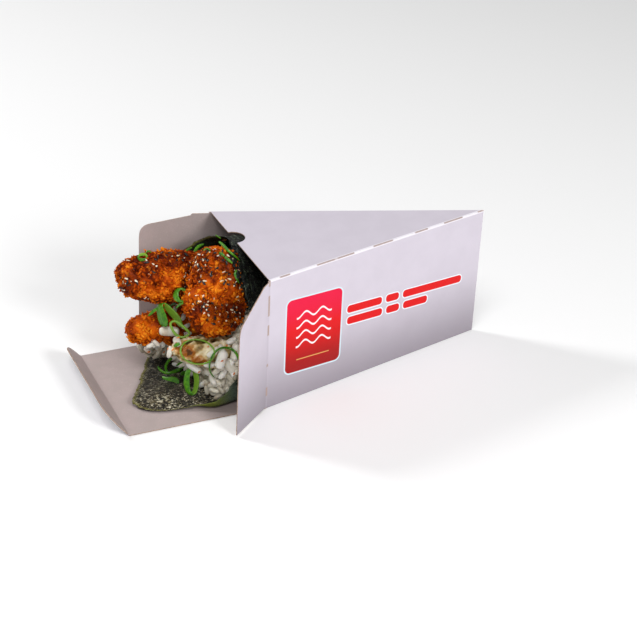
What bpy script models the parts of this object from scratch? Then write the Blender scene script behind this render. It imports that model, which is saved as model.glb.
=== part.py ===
"""Temaki hand roll in its wedge-shaped card case, which lies on its side with the mouth open.

Units are metres, +Z is up. The origin is on the underside of the case, half-way between its mouth
and its tip. The mouth faces -X, the tip is at +X, and the lid lies flat in front of the mouth.
The roll is a cone of nori, with a corner of the sheet lying out on the lid. It holds rice, cream
cheese, three breaded pieces and cut spring onion.
"""

import math
import random

import bmesh
import bpy
from mathutils import Matrix, Vector, noise
from mathutils.bvhtree import BVHTree

MM = 0.001
UP = Vector((0, 0, 1))

# Card case
CASE_LENGTH = 150 * MM
MOUTH_WIDTH = 88 * MM
CASE_HEIGHT = 80 * MM
TIP_OFFSET = -6 * MM
CARD = 0.5 * MM
CREASE = 0.6 * MM
EDGE_CLEARANCE = 1.0 * MM
NOTCH_RADIUS = 7 * MM
NOTCH_PLACE = 9.5 * MM
NOTCH_DEPTH = 7 * MM
LID_LENGTH = 79 * MM
LIP_LENGTH = 17 * MM
LIP_CORNER = 13 * MM
LIP_ANGLE = math.radians(50)
NEAR_FLAP_LENGTH = 33.2 * MM
NEAR_FLAP_ANGLE = math.radians(219.4)
FAR_FLAP_LENGTH = 41.5 * MM
FAR_FLAP_ANGLE = math.radians(163)
FLAP_CORNER = 7 * MM

MOUTH = -CASE_LENGTH / 2
TIP = CASE_LENGTH / 2
SIDE = MOUTH_WIDTH / 2

# Nori cone. A row is a point of the rim in millimetres, and the X at which the filling ends there.
NORI = 0.5 * MM
NORI_ROUND = 44
NORI_ALONG = 12
NORI_WAVE = 0.7 * MM
CONE_TIP = Vector((56, -5, 5))
RIM = (
    (-143, -17, 3.0, -103),
    (-135, -1.5, 1.8, -104),
    (-127, 13, 1.8, -108),
    (-118, 30, 2.6, -110),
    (-112, 38, 9, -106),
    (-105, 40, 27, -92),
    (-100, 39, 47, -80),
    (-96, 36, 61, -70),
    (-84, 28.5, 72, -64),
    (-78, 13, 78, -62),
    (-78, -3.6, 71.6, -62),
    (-78, -14, 65.8, -64),
    (-78, -25, 52.8, -68),
    (-80, -33, 38, -74),
    (-84, -36, 26, -80),
    (-89, -34, 15, -86),
    (-100, -33, 7, -94),
    (-118, -31.5, 2.2, -100),
    (-136, -27, 1.8, -102),
)

# Food that the cone holds, as centre lines in millimetres with half width and half height
GAP = 0.35 * MM
NORI_GAP = 0.45 * MM
BED = 0.7 * MM
BREADED_BACK = (
    ((-64, 20, 48), (9, 10)),
    ((-90, 18, 55), (12, 13)),
    ((-115, 16, 59), (13, 15)),
    ((-139, 16, 64), (11, 13)),
)
BREADED_FRONT = (
    ((-90, -14, 35), (16, 11)),
    ((-91, -10, 47), (18, 14)),
    ((-89, -3, 61), (17, 14)),
    ((-86, 6, 77), (13, 11)),
)
BREADED_LOW = (
    ((-84, 9, 27), (8, 8)),
    ((-105, 12, 29), (10, 10)),
    ((-134, 17, 27), (9, 9)),
)
CREAM = (
    ((-76, -13, 25), (9, 9)),
    ((-92, -17, 25), (10, 10)),
    ((-107, -14, 27), (9, 8)),
    ((-117, -8, 28), (7, 6)),
)
RICE_CLUMP = (
    ((-100, 22, 11), (9, 7)),
    ((-112, 23, 12), (8, 6)),
    ((-124, 21, 13), (6, 4)),
)
FILLING_INSET = 1.1 * MM
FILLING_TIP = 0.08
FILLING_FRONT = Vector((-89, -2, 32))
FILLING_BULGE = 3 * MM

# Relief of the food's surfaces and how finely each piece is cut up, round and along
CRAGS = 2.2 * MM
CREAM_WAVES = 1.6 * MM
FRONT_DETAIL = (26, 18)
BACK_DETAIL = (24, 20)
LOW_DETAIL = (18, 14)
CREAM_DETAIL = (18, 14)
CLUMP_DETAIL = (14, 10)
CORE_DETAIL = (26, 14)

# Grains and seeds, half sizes
GRAIN_WINDOW = (-104, -4, 18)
GRAIN_REACH = Vector((32, 26)) * MM
GRAIN = Vector((3.5, 1.4, 1.3)) * MM
GRAINS = 36
GRAIN_SPREAD = 3.2 * MM
GRAIN_CLEAR = 0.6 * MM
GRAIN_TILT = 0.4
SEED = Vector((1.4, 0.85, 0.5)) * MM
SEED_SPREAD = 3.2 * MM
SEED_CLEAR = 2.4 * MM
SEED_PROUD = 0.2 * MM
TRIES = 200
SEEDS_BACK = 12
SEEDS_FRONT = 19
SEEDS_LOW = 4

# The way from the object to an eye that looks at the mouth, and what is right and up to that eye
TO_EYE = Vector((-0.372, -0.786, 0.494))
RIGHT = Vector((0.904, -0.428, 0))
RISE = Vector((0.211, 0.447, 0.87))
EYE_REACH = 200 * MM

# Cut spring onion: name, centre in mm, way of its hollow, way of its second radius, both radii,
# width and wall in mm, and the arc in degrees from start over sweep
ONION = (
    ("onion_loop", (-113, 2.5, 40), (0.63, -0.49, 0.61), (-0.27, 0.6, 0.76), (5.5, 8), 5, 0.8, 0, 360),
    ("onion_ring_left", (-111.5, -3, 34), (-0.3, -0.8, 0.5), RISE, (5.6, 5.2), 1.8, 0.9, 0, 360),
    ("onion_ring_thin", (-106.4, -20.9, 29.5), TO_EYE, RISE, (9.8, 7.2), 1.2, 0.6, 0, 360),
    ("onion_arc_thin", (-93.6, -27.4, 24), TO_EYE, RISE, (8.5, 9), 1.2, 0.6, -15, 240),
    ("onion_ring_thick", (-111.2, -19.4, 11.4), (-0.88, -0.35, 0.3), RISE, (5.5, 7.3), 3.2, 0.9, 0, 360),
    ("onion_arc_low", (-111.7, 5.8, 10.2), TO_EYE, RISE, (8, 7), 1.6, 0.9, 200, 140),
    ("onion_chunk", (-116, -4, -1.4), (-0.5, 0.85, 0), UP, (6, 6), 4.5, 0.9, 50, 80),
    ("onion_curl", (-110.4, 2.6, 52.6), (-0.5, -0.75, 0.4), RISE, (3.4, 3.4), 3, 0.9, 0, 360),
    ("onion_ring_top", (-123.5, 14.5, 74), (-0.35, -0.5, 0.8), RISE, (4.6, 3.6), 2, 0.9, 0, 360),
    ("onion_back", (-91, 21, 67.5), TO_EYE, RISE, (5, 5), 2.4, 0.8, 20, 140),
    ("onion_strip", (-73.5, 10, 54.6), (0.95, 0.07, 0.3), (-0.3, -0.28, 0.91), (25, 25), 1.7, 0.8, 68, 44),
    ("onion_stub", (-86.9, -5, 76.8), (0.5, -0.6, 0.6), RISE, (2.6, 2.2), 2.4, 0.8, 0, 360),
    ("onion_sliver", (-74.2, -18, 68.6), TO_EYE, RISE, (9, 9), 1.3, 0.8, 150, 60),
)
ONION_STEPS = 16


def clear_scene():
    for obj in list(bpy.data.objects):
        bpy.data.objects.remove(obj, do_unlink=True)


def new_collection(name):
    collection = bpy.data.collections.new(name)
    bpy.context.scene.collection.children.link(collection)
    return collection


def new_material(name, colour, roughness):
    material = bpy.data.materials.new(name)
    material.use_nodes = True
    shader = material.node_tree.nodes["Principled BSDF"]
    shader.inputs["Base Color"].default_value = (*colour, 1)
    shader.inputs["Roughness"].default_value = roughness
    shader.inputs["Metallic"].default_value = 0
    material.diffuse_color = (*colour, 1)
    return material


def mesh_object(name, shape, collection, material=None):
    """A mesh object from a bmesh, which is freed. Its faces are turned outwards."""
    bmesh.ops.recalc_face_normals(shape, faces=shape.faces)
    if shape.calc_volume(signed=True) < 0:
        bmesh.ops.reverse_faces(shape, faces=shape.faces)
    mesh = bpy.data.meshes.new(name)
    shape.to_mesh(mesh)
    shape.free()
    obj = bpy.data.objects.new(name, mesh)
    collection.objects.link(obj)
    if material:
        mesh.materials.append(material)
    return obj


def curve_to_mesh(curve_object, collection, material=None):
    """A welded mesh object in the place of a curve object, which is removed."""
    bpy.context.view_layer.update()
    graph = bpy.context.evaluated_depsgraph_get()
    mesh = bpy.data.meshes.new_from_object(curve_object.evaluated_get(graph))
    shape = bmesh.new()
    shape.from_mesh(mesh)
    bmesh.ops.remove_doubles(shape, verts=shape.verts, dist=0.00001)
    name, place = curve_object.name, curve_object.matrix_world.copy()
    bpy.data.objects.remove(curve_object)
    obj = mesh_object(name, shape, collection, material)
    obj.matrix_world = place
    return obj


def plate(name, outline, thickness, place, collection, material=None):
    """A flat outline given its thickness, half to each side of its own plane."""
    curve = bpy.data.curves.new(name, "CURVE")
    curve.dimensions = "2D"
    curve.fill_mode = "BOTH"
    curve.extrude = thickness / 2
    spline = curve.splines.new("POLY")
    spline.points.add(len(outline) - 1)
    for point, (x, y) in zip(spline.points, outline):
        point.co = (x, y, 0, 1)
    spline.use_cyclic_u = True
    obj = bpy.data.objects.new(name, curve)
    collection.objects.link(obj)
    obj.matrix_world = place
    return curve_to_mesh(obj, collection, material)


def arc(centre, radius, start, end, steps):
    """Points on an arc between two angles in degrees."""
    angles = [math.radians(start + (end - start) * i / steps) for i in range(steps + 1)]
    return [(centre[0] + radius * math.cos(a), centre[1] + radius * math.sin(a)) for a in angles]


def upright(corner, angle):
    """The place of a plate that stands on its edge: its X points away at the angle, its Y up."""
    turn = Matrix.Rotation(angle, 4, "Z") @ Matrix.Rotation(math.pi / 2, 4, "X")
    return Matrix.Translation(corner) @ turn


def wall_angle(side):
    """The heading from the tip to a corner of the mouth."""
    return math.atan2(side * SIDE - TIP_OFFSET, MOUTH - TIP)


def inner_outline():
    """The triangle inside the walls, drawn out past the mouth so that it cuts it open."""
    past = 5 * MM
    lines = []
    for side in (-1, 1):
        heading = Vector((math.cos(wall_angle(side)), math.sin(wall_angle(side))))
        inward = Vector((-heading.y, heading.x)) * side
        corner = Vector((MOUTH, side * SIDE)) + inward * CARD
        lines.append((corner + heading * past, heading))
    (near, near_way), (far, far_way) = lines
    across = far - near
    run = (across.x * far_way.y - across.y * far_way.x) / (
        near_way.x * far_way.y - near_way.y * far_way.x
    )
    tip = near + near_way * run
    return [tuple(near), tuple(tip), tuple(far)]


def make_case_body(parts, cutters, card):
    """Bottom, top and two walls of the folded case, open at the mouth, with a thumb notch on top."""
    outline = [(MOUTH, -SIDE), (TIP, TIP_OFFSET), (MOUTH, SIDE)]
    middle = Matrix.Translation((0, 0, CASE_HEIGHT / 2))
    body = plate("case_body", outline, CASE_HEIGHT, middle, parts, card)
    hollow = plate("case_hollow", inner_outline(), CASE_HEIGHT - 2 * CARD, middle, cutters)
    centre = (MOUTH - NOTCH_RADIUS + NOTCH_DEPTH, NOTCH_PLACE)
    notch_place = Matrix.Translation((0, 0, CASE_HEIGHT))
    notch = plate("thumb_notch", arc(centre, NOTCH_RADIUS, 0, 345, 23), 10 * MM, notch_place, cutters)
    for cutter in (hollow, notch):
        cut = body.modifiers.new(cutter.name, "BOOLEAN")
        cut.operation = "DIFFERENCE"
        cut.solver = "EXACT"
        cut.object = cutter
    return body


def make_lid(parts, card):
    """The lid, hinged on the bottom panel's mouth edge and lying flat."""
    outline = [(-CREASE, -SIDE), (-CREASE, SIDE), (-LID_LENGTH + CREASE, SIDE)]
    outline += [(-LID_LENGTH + CREASE, -SIDE)]
    return plate("lid", outline, CARD, Matrix.Translation((MOUTH, 0, CARD / 2)), parts, card)


def make_tuck_lip(parts, card):
    """The lip at the lid's far end, half folded up, with rounded corners."""
    low, high = -SIDE + LIP_CORNER, SIDE - LIP_CORNER
    base = LIP_LENGTH - LIP_CORNER
    outline = [(-CREASE, -SIDE + EDGE_CLEARANCE), (-CREASE, SIDE - EDGE_CLEARANCE)]
    outline += [(-x, y - EDGE_CLEARANCE) for x, y in arc((base, high), LIP_CORNER, 90, 0, 6)]
    outline += [(-x, y + EDGE_CLEARANCE) for x, y in arc((base, low), LIP_CORNER, 0, -90, 6)]
    place = Matrix.Translation((MOUTH - LID_LENGTH, 0, CARD / 2)) @ Matrix.Rotation(LIP_ANGLE, 4, "Y")
    return plate("tuck_lip", outline, CARD, place, parts, card)


def make_near_flap(parts, card):
    """The dust flap on the near wall, swung outwards."""
    end, top = NEAR_FLAP_LENGTH, CASE_HEIGHT - EDGE_CLEARANCE
    outline = [(CREASE, EDGE_CLEARANCE), (end, EDGE_CLEARANCE), (end - 1.2 * MM, top - 20 * MM)]
    outline += arc((end - 1.5 * MM - FLAP_CORNER, top - 18 * MM), FLAP_CORNER, 8, 60, 5)
    outline += [(5.6 * MM, top - 0.5 * MM), (CREASE, top)]
    corner = Vector((MOUTH, -SIDE + CARD / 2, 0))
    return plate("near_flap", outline, CARD, upright(corner, NEAR_FLAP_ANGLE), parts, card)


def make_far_flap(parts, card):
    """The dust flap on the far wall, standing out in line with it."""
    end, top = FAR_FLAP_LENGTH, CASE_HEIGHT - EDGE_CLEARANCE
    outline = [(CREASE, EDGE_CLEARANCE), (end, EDGE_CLEARANCE), (end - 0.6 * MM, top - 15 * MM)]
    outline += arc((end - 0.8 * MM - FLAP_CORNER, top - 13 * MM), FLAP_CORNER, 5, 75, 6)
    outline += [(11.6 * MM, top - 1.2 * MM), (10.5 * MM, top), (CREASE, top)]
    corner = Vector((MOUTH, SIDE - CARD / 2, 0))
    return plate("far_flap", outline, CARD, upright(corner, FAR_FLAP_ANGLE), parts, card)


def along(points, share, closed=False):
    """A point on the smooth curve through the given points, at a share of its way."""
    count = len(points)
    place = share * (count if closed else count - 1)
    first = int(math.floor(place)) if closed else min(int(place), count - 2)
    t = place - first
    picks = []
    for step in (-1, 0, 1, 2):
        index = (first + step) % count if closed else max(0, min(count - 1, first + step))
        picks.append(Vector(points[index]))
    a, b, c, d = picks
    bend = 2 * a - 5 * b + 4 * c - d
    twist = 3 * b - a - 3 * c + d
    return (2 * b + (c - a) * t + bend * t**2 + twist * t**3) / 2


def cone_point(turn, way):
    """A point of the nori sheet: turn goes once round it, way from the tip to the rim."""
    rim = along(RIM, turn, closed=True).to_3d()
    return CONE_TIP.lerp(rim, way) * MM


def filling_end(turn):
    """How far the filling reaches from the tip to the rim, at this turn round the cone."""
    row = along(RIM, turn, closed=True)
    return (CONE_TIP.x - row[3]) / (CONE_TIP.x - row[0])


def wave(point):
    """Gentle waves of the sheet, upwards only and fading out where it lies on the card."""
    fade = min(1, max(0, (point.z - 4 * MM) / (14 * MM)))
    return fade * NORI_WAVE * noise.noise(point * 60)


def nori_sheet(name, thickness, collection, material=None):
    shape = bmesh.new()
    bmesh.ops.create_grid(shape, x_segments=NORI_ROUND, y_segments=NORI_ALONG, size=0.5)
    for vert in shape.verts:
        turn, way = vert.co.x + 0.5, vert.co.y + 0.5
        point = cone_point(turn, way)
        middle = (cone_point(turn, way) + cone_point(turn + 0.5, way)) / 2
        outward = (point - middle).normalized() if way > 0 else Vector()
        vert.co = point + outward * wave(point)
    bmesh.ops.remove_doubles(shape, verts=shape.verts, dist=0.01 * MM)
    bmesh.ops.triangulate(shape, faces=shape.faces)
    obj = mesh_object(name, shape, collection, material)
    solid = obj.modifiers.new("Thickness", "SOLIDIFY")
    solid.thickness = thickness
    solid.offset = 0
    return obj


def crags(point, roughness):
    """The uneven height of a breaded crust."""
    broad = noise.noise(point * 150)
    fine = noise.noise(point * 330 + Vector((7, 3, 5)))
    return roughness * (0.6 * broad + 0.55 * fine)


def lump(name, sections, roughness, detail, collection, material=None, grow=0.0):
    """A rounded body along a smooth centre line, with a half width and height at each of its points."""
    centres = [Vector(centre) for centre, _ in sections]
    halves = [Vector((*half, 0)) for _, half in sections]
    shape = bmesh.new()
    bmesh.ops.create_uvsphere(shape, u_segments=detail[0], v_segments=detail[1], radius=1)
    for vert in shape.verts:
        share = (vert.co.z + 1) / 2
        centre = along(centres, share) * MM
        half = along(halves, share) * MM
        way = (along(centres, min(1, share + 0.02)) - along(centres, max(0, share - 0.02))).normalized()
        side = way.cross(UP).normalized()
        rise = side.cross(way)
        ring = math.hypot(vert.co.x, vert.co.y)
        blunt = ring**0.62 / ring if ring > 1e-6 else 0
        out = (side * vert.co.x * half.x + rise * vert.co.y * half.y) * blunt
        out_way = (out.normalized() * ring + way * vert.co.z).normalized()
        vert.co = centre + out + out_way * (crags(centre + out, roughness) + grow)
    return mesh_object(name, shape, collection, material)


def boolean(obj, tools, operation):
    """Applies one Boolean of several tools to an object, and removes the tools."""
    collection = new_collection(obj.name + "_tools")
    for tool in tools:
        collection.objects.link(tool)
    step = obj.modifiers.new("Step", "BOOLEAN")
    step.operation = operation
    step.operand_type = "COLLECTION"
    step.collection = collection
    step.solver = "EXACT"
    bpy.context.view_layer.update()
    graph = bpy.context.evaluated_depsgraph_get()
    mesh = bpy.data.meshes.new_from_object(obj.evaluated_get(graph))
    obj.modifiers.clear()
    obj.data = mesh
    for tool in tools:
        bpy.data.objects.remove(tool)
    bpy.data.collections.remove(collection)


def keep_main_body(obj):
    """Drops the loose scraps that a cut leaves."""
    shape = bmesh.new()
    shape.from_mesh(obj.data)
    left = set(shape.verts)
    bodies = []
    while left:
        queue = [left.pop()]
        found = set(queue)
        while queue:
            for edge in queue.pop().link_edges:
                for vert in edge.verts:
                    if vert not in found:
                        found.add(vert)
                        queue.append(vert)
        left -= found
        bodies.append(found)
    main = max(bodies, key=len)
    scraps = [vert for vert in shape.verts if vert not in main]
    bmesh.ops.delete(shape, geom=scraps, context="VERTS")
    shape.to_mesh(obj.data)
    shape.free()


def grain(name, halves, place, collection):
    shape = bmesh.new()
    bmesh.ops.create_uvsphere(shape, u_segments=6, v_segments=4, radius=1)
    for vert in shape.verts:
        vert.co = Vector((vert.co.z * halves.x, vert.co.x * halves.y, vert.co.y * halves.z))
    bmesh.ops.transform(shape, matrix=place, verts=shape.verts)
    return mesh_object(name, shape, collection)


def lying_on(point, normal, turn, sink):
    """The place of a grain that lies on a surface, turned about the surface's normal."""
    normal = normal.normalized()
    first = normal.orthogonal().normalized()
    second = normal.cross(first)
    way = first * math.cos(turn) + second * math.sin(turn)
    place = Matrix((way, normal.cross(way), normal)).transposed().to_4x4()
    place.translation = point - normal * sink
    return place


def tree_of(obj):
    bpy.context.view_layer.update()
    return BVHTree.FromObject(obj, bpy.context.evaluated_depsgraph_get())


def seen_from_eye(tree, start):
    """Where a line from the eye meets a surface: the point, the surface's normal and how far it is."""
    point, normal, _, distance = tree.ray_cast(start + TO_EYE * EYE_REACH, -TO_EYE)
    return point, normal, math.inf if point is None else distance


def scattered(tree, count, spread, others, clear, window, chance):
    """Places that the eye sees, each apart from the last ones and clear of the other pieces."""
    found = []
    middle, across, upward = window
    for _ in range(count * TRIES):
        if len(found) == count:
            break
        start = middle + across * chance.uniform(-1, 1) + upward * chance.uniform(-1, 1)
        point, normal, distance = seen_from_eye(tree, start)
        if point is None or any((point - earlier).length < spread for earlier, _ in found):
            continue
        if any(seen_from_eye(other, start)[2] < distance for other in others):
            continue
        nearest = [other.find_nearest(point)[3] for other in others]
        if all(distance > clear for distance in nearest):
            found.append((point, normal))
    return found


def filling_core(collection, material):
    """The rice inside the cone: rings from the tip to its uneven end, closed by a bulging front."""
    shape = bmesh.new()
    bmesh.ops.create_grid(shape, x_segments=CORE_DETAIL[0], y_segments=CORE_DETAIL[1], size=0.5)
    sides = 0.7
    for vert in shape.verts:
        turn, row = vert.co.x + 0.5, vert.co.y + 0.5
        end = filling_end(turn)
        way = FILLING_TIP + (end - FILLING_TIP) * min(1, row / sides)
        point = cone_point(turn, way)
        middle = (point + cone_point(turn + 0.5, way)) / 2
        point += (middle - point).normalized() * FILLING_INSET
        inwards = max(0, (row - sides) / (1 - sides))
        point = point.lerp(FILLING_FRONT * MM, inwards)
        point.x -= FILLING_BULGE * math.sin(math.pi * inwards)
        vert.co = point
        if row == 0:
            vert.co = cone_point(0, FILLING_TIP).lerp(cone_point(0.5, FILLING_TIP), 0.5)
    bmesh.ops.remove_doubles(shape, verts=shape.verts, dist=0.01 * MM)
    bmesh.ops.triangulate(shape, faces=shape.faces)
    return mesh_object("rice", shape, collection, material)


def onion_piece(row, collection, material=None, grow=0.0):
    """A cut of spring onion: a square bar, bent round an arc or joined into a ring."""
    name, centre, facing, upward, radii, width, wall, start, sweep = row
    axis = Vector(facing).normalized()
    first = Vector(upward).cross(axis).normalized()
    second = axis.cross(first)
    shape = bmesh.new()
    bmesh.ops.create_cube(shape, size=2)
    lengthways = [e for e in shape.edges if abs(e.verts[0].co.x - e.verts[1].co.x) > 1]
    bmesh.ops.subdivide_edges(shape, edges=lengthways, cuts=ONION_STEPS - 1, use_grid_fill=True)
    ring = sweep == 360
    if ring:
        ends = [f for f in shape.faces if abs(f.calc_center_median().x) > 0.999]
        bmesh.ops.delete(shape, geom=ends, context="FACES_ONLY")
    for vert in shape.verts:
        share = (vert.co.x + 1) / 2
        angle = math.radians(start + sweep * share)
        thick = vert.co.y * (wall / 2 * MM + grow)
        side = vert.co.z * (width / 2 * MM + grow)
        out = first * math.cos(angle) * (radii[0] * MM + thick)
        out += second * math.sin(angle) * (radii[1] * MM + thick)
        if not ring:
            beyond = (share > 0.999) - (share < 0.001)
            out += (second * math.cos(angle) - first * math.sin(angle)) * beyond * grow
        vert.co = Vector(centre) * MM + out + axis * side
    bmesh.ops.remove_doubles(shape, verts=shape.verts, dist=0.01 * MM)
    return mesh_object(name, shape, collection, material)


def onion_beds(cutters):
    return [onion_piece(row, cutters, grow=GAP) for row in ONION]


def front_bed(cutters):
    return lump("front_bed", BREADED_FRONT, CRAGS, FRONT_DETAIL, cutters, grow=BED)


def back_bed(cutters):
    return lump("back_bed", BREADED_BACK, CRAGS, BACK_DETAIL, cutters, grow=BED)


def low_bed(cutters):
    return lump("low_bed", BREADED_LOW, CRAGS, LOW_DETAIL, cutters, grow=BED)


def cream_bed(cutters):
    return lump("cream_bed", CREAM, CREAM_WAVES, CREAM_DETAIL, cutters, grow=BED)


def nori_bed(cutters):
    return nori_sheet("nori_bed", NORI + 2 * NORI_GAP, cutters)


def strew(obj, seeds, others, window, chance, cutters):
    """Fuses sesame seeds to what they lie on, clear of the other pieces."""
    tools = []
    for point, normal in scattered(tree_of(obj), seeds, SEED_SPREAD, others, SEED_CLEAR, window, chance):
        place = lying_on(point, normal, chance.uniform(0, math.pi), -SEED_PROUD)
        tools.append(grain("seed", SEED, place, cutters))
    boolean(obj, tools, "UNION")
    keep_main_body(obj)


def make_breaded(parts, cutters, crust):
    """The three breaded pieces, cut where they touch each other, the nori or the onion."""
    front = lump("breaded_front", BREADED_FRONT, CRAGS, FRONT_DETAIL, parts, crust)
    back = lump("breaded_back", BREADED_BACK, CRAGS, BACK_DETAIL, parts, crust)
    low = lump("breaded_low", BREADED_LOW, CRAGS, LOW_DETAIL, parts, crust)
    boolean(front, [nori_bed(cutters), *onion_beds(cutters)], "DIFFERENCE")
    boolean(back, [front_bed(cutters), nori_bed(cutters), *onion_beds(cutters)], "DIFFERENCE")
    beds = [front_bed(cutters), back_bed(cutters), nori_bed(cutters), *onion_beds(cutters)]
    boolean(low, beds, "DIFFERENCE")
    for piece in (front, back, low):
        keep_main_body(piece)
    return front, back, low


def make_cream(parts, cutters, cream):
    obj = lump("cream_cheese", CREAM, CREAM_WAVES, CREAM_DETAIL, parts, cream)
    beds = [front_bed(cutters), back_bed(cutters), low_bed(cutters), nori_bed(cutters)]
    boolean(obj, beds + onion_beds(cutters), "DIFFERENCE")
    keep_main_body(obj)
    return obj


def make_rice(parts, cutters, white, others, chance):
    """The filling's core with the grains that show fused on, cut where anything lies in it."""
    obj = filling_core(parts, white)
    boolean(obj, [lump("rice_clump", RICE_CLUMP, 1 * MM, CLUMP_DETAIL, cutters)], "UNION")
    window = (Vector(GRAIN_WINDOW) * MM, RIGHT * GRAIN_REACH.x, RISE * GRAIN_REACH.y)
    tools = []
    for point, normal in scattered(tree_of(obj), GRAINS, GRAIN_SPREAD, others, GRAIN_CLEAR, window, chance):
        place = lying_on(point, normal, chance.uniform(0, math.pi), 0)
        place @= Matrix.Rotation(chance.uniform(-GRAIN_TILT, GRAIN_TILT), 4, "Y")
        tools.append(grain("grain", GRAIN, place, cutters))
    boolean(obj, tools, "UNION")
    beds = [front_bed(cutters), back_bed(cutters), low_bed(cutters), cream_bed(cutters)]
    boolean(obj, [*beds, nori_bed(cutters), *onion_beds(cutters)], "DIFFERENCE")
    keep_main_body(obj)
    return obj


def make_onion(parts, green):
    return [onion_piece(row, parts, green) for row in ONION]


def strew_seeds(front, back, low, others, chance, cutters):
    """Sesame on the shown sides of the breaded pieces."""
    plans = (
        (front, (back, low), SEEDS_FRONT, (-92, -8, 54), (20, 26)),
        (back, (front, low), SEEDS_BACK, (-115, 14, 60), (28, 26)),
        (low, (front, back), SEEDS_LOW, (-118, 10, 30), (20, 13)),
    )
    for piece, neighbours, seeds, middle, (wide, high) in plans:
        window = (Vector(middle) * MM, RIGHT * wide * MM, RISE * high * MM)
        blocked = others + [tree_of(neighbour) for neighbour in neighbours]
        strew(piece, seeds, blocked, window, chance, cutters)


def build():
    clear_scene()
    parts = new_collection("temaki_hand_roll")
    cutters = new_collection("cutters")
    card = new_material("white_card", (0.83, 0.80, 0.85), 0.55)
    leaf = new_material("nori", (0.012, 0.020, 0.010), 0.45)
    crust = new_material("breaded_crust", (0.60, 0.17, 0.02), 0.5)
    cream = new_material("cream", (0.80, 0.70, 0.55), 0.4)
    white = new_material("rice", (0.80, 0.78, 0.72), 0.5)
    green = new_material("spring_onion", (0.10, 0.35, 0.03), 0.4)
    chance = random.Random(7)
    make_case_body(parts, cutters, card)
    make_lid(parts, card)
    make_tuck_lip(parts, card)
    make_near_flap(parts, card)
    make_far_flap(parts, card)
    nori = nori_sheet("nori", NORI, parts, leaf)
    onion = make_onion(parts, green)
    front, back, low = make_breaded(parts, cutters, crust)
    cheese = make_cream(parts, cutters, cream)
    before_rice = [tree_of(piece) for piece in (front, back, low, cheese, nori, *onion)]
    rice = make_rice(parts, cutters, white, before_rice, chance)
    others = [tree_of(piece) for piece in (nori, cheese, rice, *onion)]
    strew_seeds(front, back, low, others, chance, cutters)
    for obj in cutters.objects:
        obj.hide_render = True
        obj.display_type = "WIRE"


build()
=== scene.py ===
"""The looks of a temaki hand roll in its card case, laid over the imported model.

The card panels keep their solids' shapes and get creases, cut edges and print. The food is made
again over the same centre lines as its solids, with crumb, seeds, grains, folds and glaze.
Lengths are in millimetres unless a name says otherwise, and become metres when a mesh is made.
"""

import math
import random
from functools import partial, reduce

import bmesh
import bpy
import numpy as np
from mathutils import Matrix, Vector, noise
from mathutils.bvhtree import BVHTree


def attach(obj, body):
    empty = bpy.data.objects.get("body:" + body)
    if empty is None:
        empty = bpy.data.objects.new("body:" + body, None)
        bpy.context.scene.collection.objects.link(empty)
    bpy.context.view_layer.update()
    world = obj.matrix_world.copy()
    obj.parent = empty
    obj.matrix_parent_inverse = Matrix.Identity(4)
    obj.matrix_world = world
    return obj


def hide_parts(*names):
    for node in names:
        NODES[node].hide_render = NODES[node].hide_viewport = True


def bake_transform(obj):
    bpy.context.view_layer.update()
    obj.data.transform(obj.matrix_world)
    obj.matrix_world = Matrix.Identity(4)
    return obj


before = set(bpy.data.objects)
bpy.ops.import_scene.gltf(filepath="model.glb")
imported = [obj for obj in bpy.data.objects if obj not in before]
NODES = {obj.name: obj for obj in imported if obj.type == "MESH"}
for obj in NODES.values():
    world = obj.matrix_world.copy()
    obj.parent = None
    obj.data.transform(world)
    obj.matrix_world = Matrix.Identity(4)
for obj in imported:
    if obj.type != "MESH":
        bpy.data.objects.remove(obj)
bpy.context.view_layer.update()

MM = 0.001
ROLL = "case_and_roll"

# The view of the photograph, fitted to the corners of the case
CAMERA_PLACE = Vector((-0.38288, -0.75646, 0.49876))
CAMERA_YAW = math.radians(25.34)
CAMERA_PITCH = math.radians(29.58)
CAMERA_ROLL = math.radians(2.72)
CAMERA_LENS = 94.31
SENSOR = 36
PICTURE = 637
FOCAL = CAMERA_LENS / SENSOR * PICTURE

# The case, as its solids have it
MOUTH = -75
TIP = 75
SIDE = 44
TIP_OFFSET = -6
CASE_HEIGHT = 80
LID_LENGTH = 79
CARD = 0.5
LIP_ANGLE = math.radians(50)
NEAR_FLAP_ANGLE = math.radians(219.4)
FAR_FLAP_ANGLE = math.radians(163)

# The gap at a crease, and the strip of card that bends there: how far it reaches into the case
# and into a panel, where its bend starts, half its thickness, and its rows
CREASE = 0.6
STRIP_IN_CASE = 0.6
STRIP_IN_PANEL = 1.1
BEND_START = 0.2
STRIP_HALF = 0.27
STRIP_ROWS = 12

# How far the floor lies under the card
FLOOR_GAP = 0.2

# The print on the near wall, as places along it from the mouth and up from the table.
# Its lines run down a little towards the tip, by this much for each millimetre along.
PRINT_SLANT = 0.068
FIELD_CENTRE = (31.6, 41.2)
FIELD_HALF = (19.2, 23.0)
FIELD_CORNER = 3.4
FIELD_BORDER = 0.9
WAVE_SWING = 1.7
WAVE_LEVELS = (53.5, 47.5, 41.5, 35.5)
WAVE_TURNS = 0.55
BAR_HALF_HEIGHT = 2.4
BAR_CORNER = 2
BAR_BORDER = 0.7
PRINT_BARS = (
    (55, 80.5, 48.8),
    (83.5, 93.2, 48.8),
    (96.2, 141.5, 48.8),
    (55.3, 81.1, 41.4),
    (84.1, 93.9, 41.4),
    (96.9, 115.4, 41.4),
)

# Nori. Its fold is a torn inner edge and an outer edge, in pixels of the picture across and down.
CONE_TIP = np.array((56, -5, 5))
NORI_FOLD = (
    ((219, 240.5), (227.5, 251), (232.5, 263.5), (236.5, 276), (240.5, 288), (245.5, 301), (249.5, 312)),
    ((231, 240), (239, 250), (244, 263), (247.5, 276), (250, 288), (252, 299), (254, 310)),
)
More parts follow.
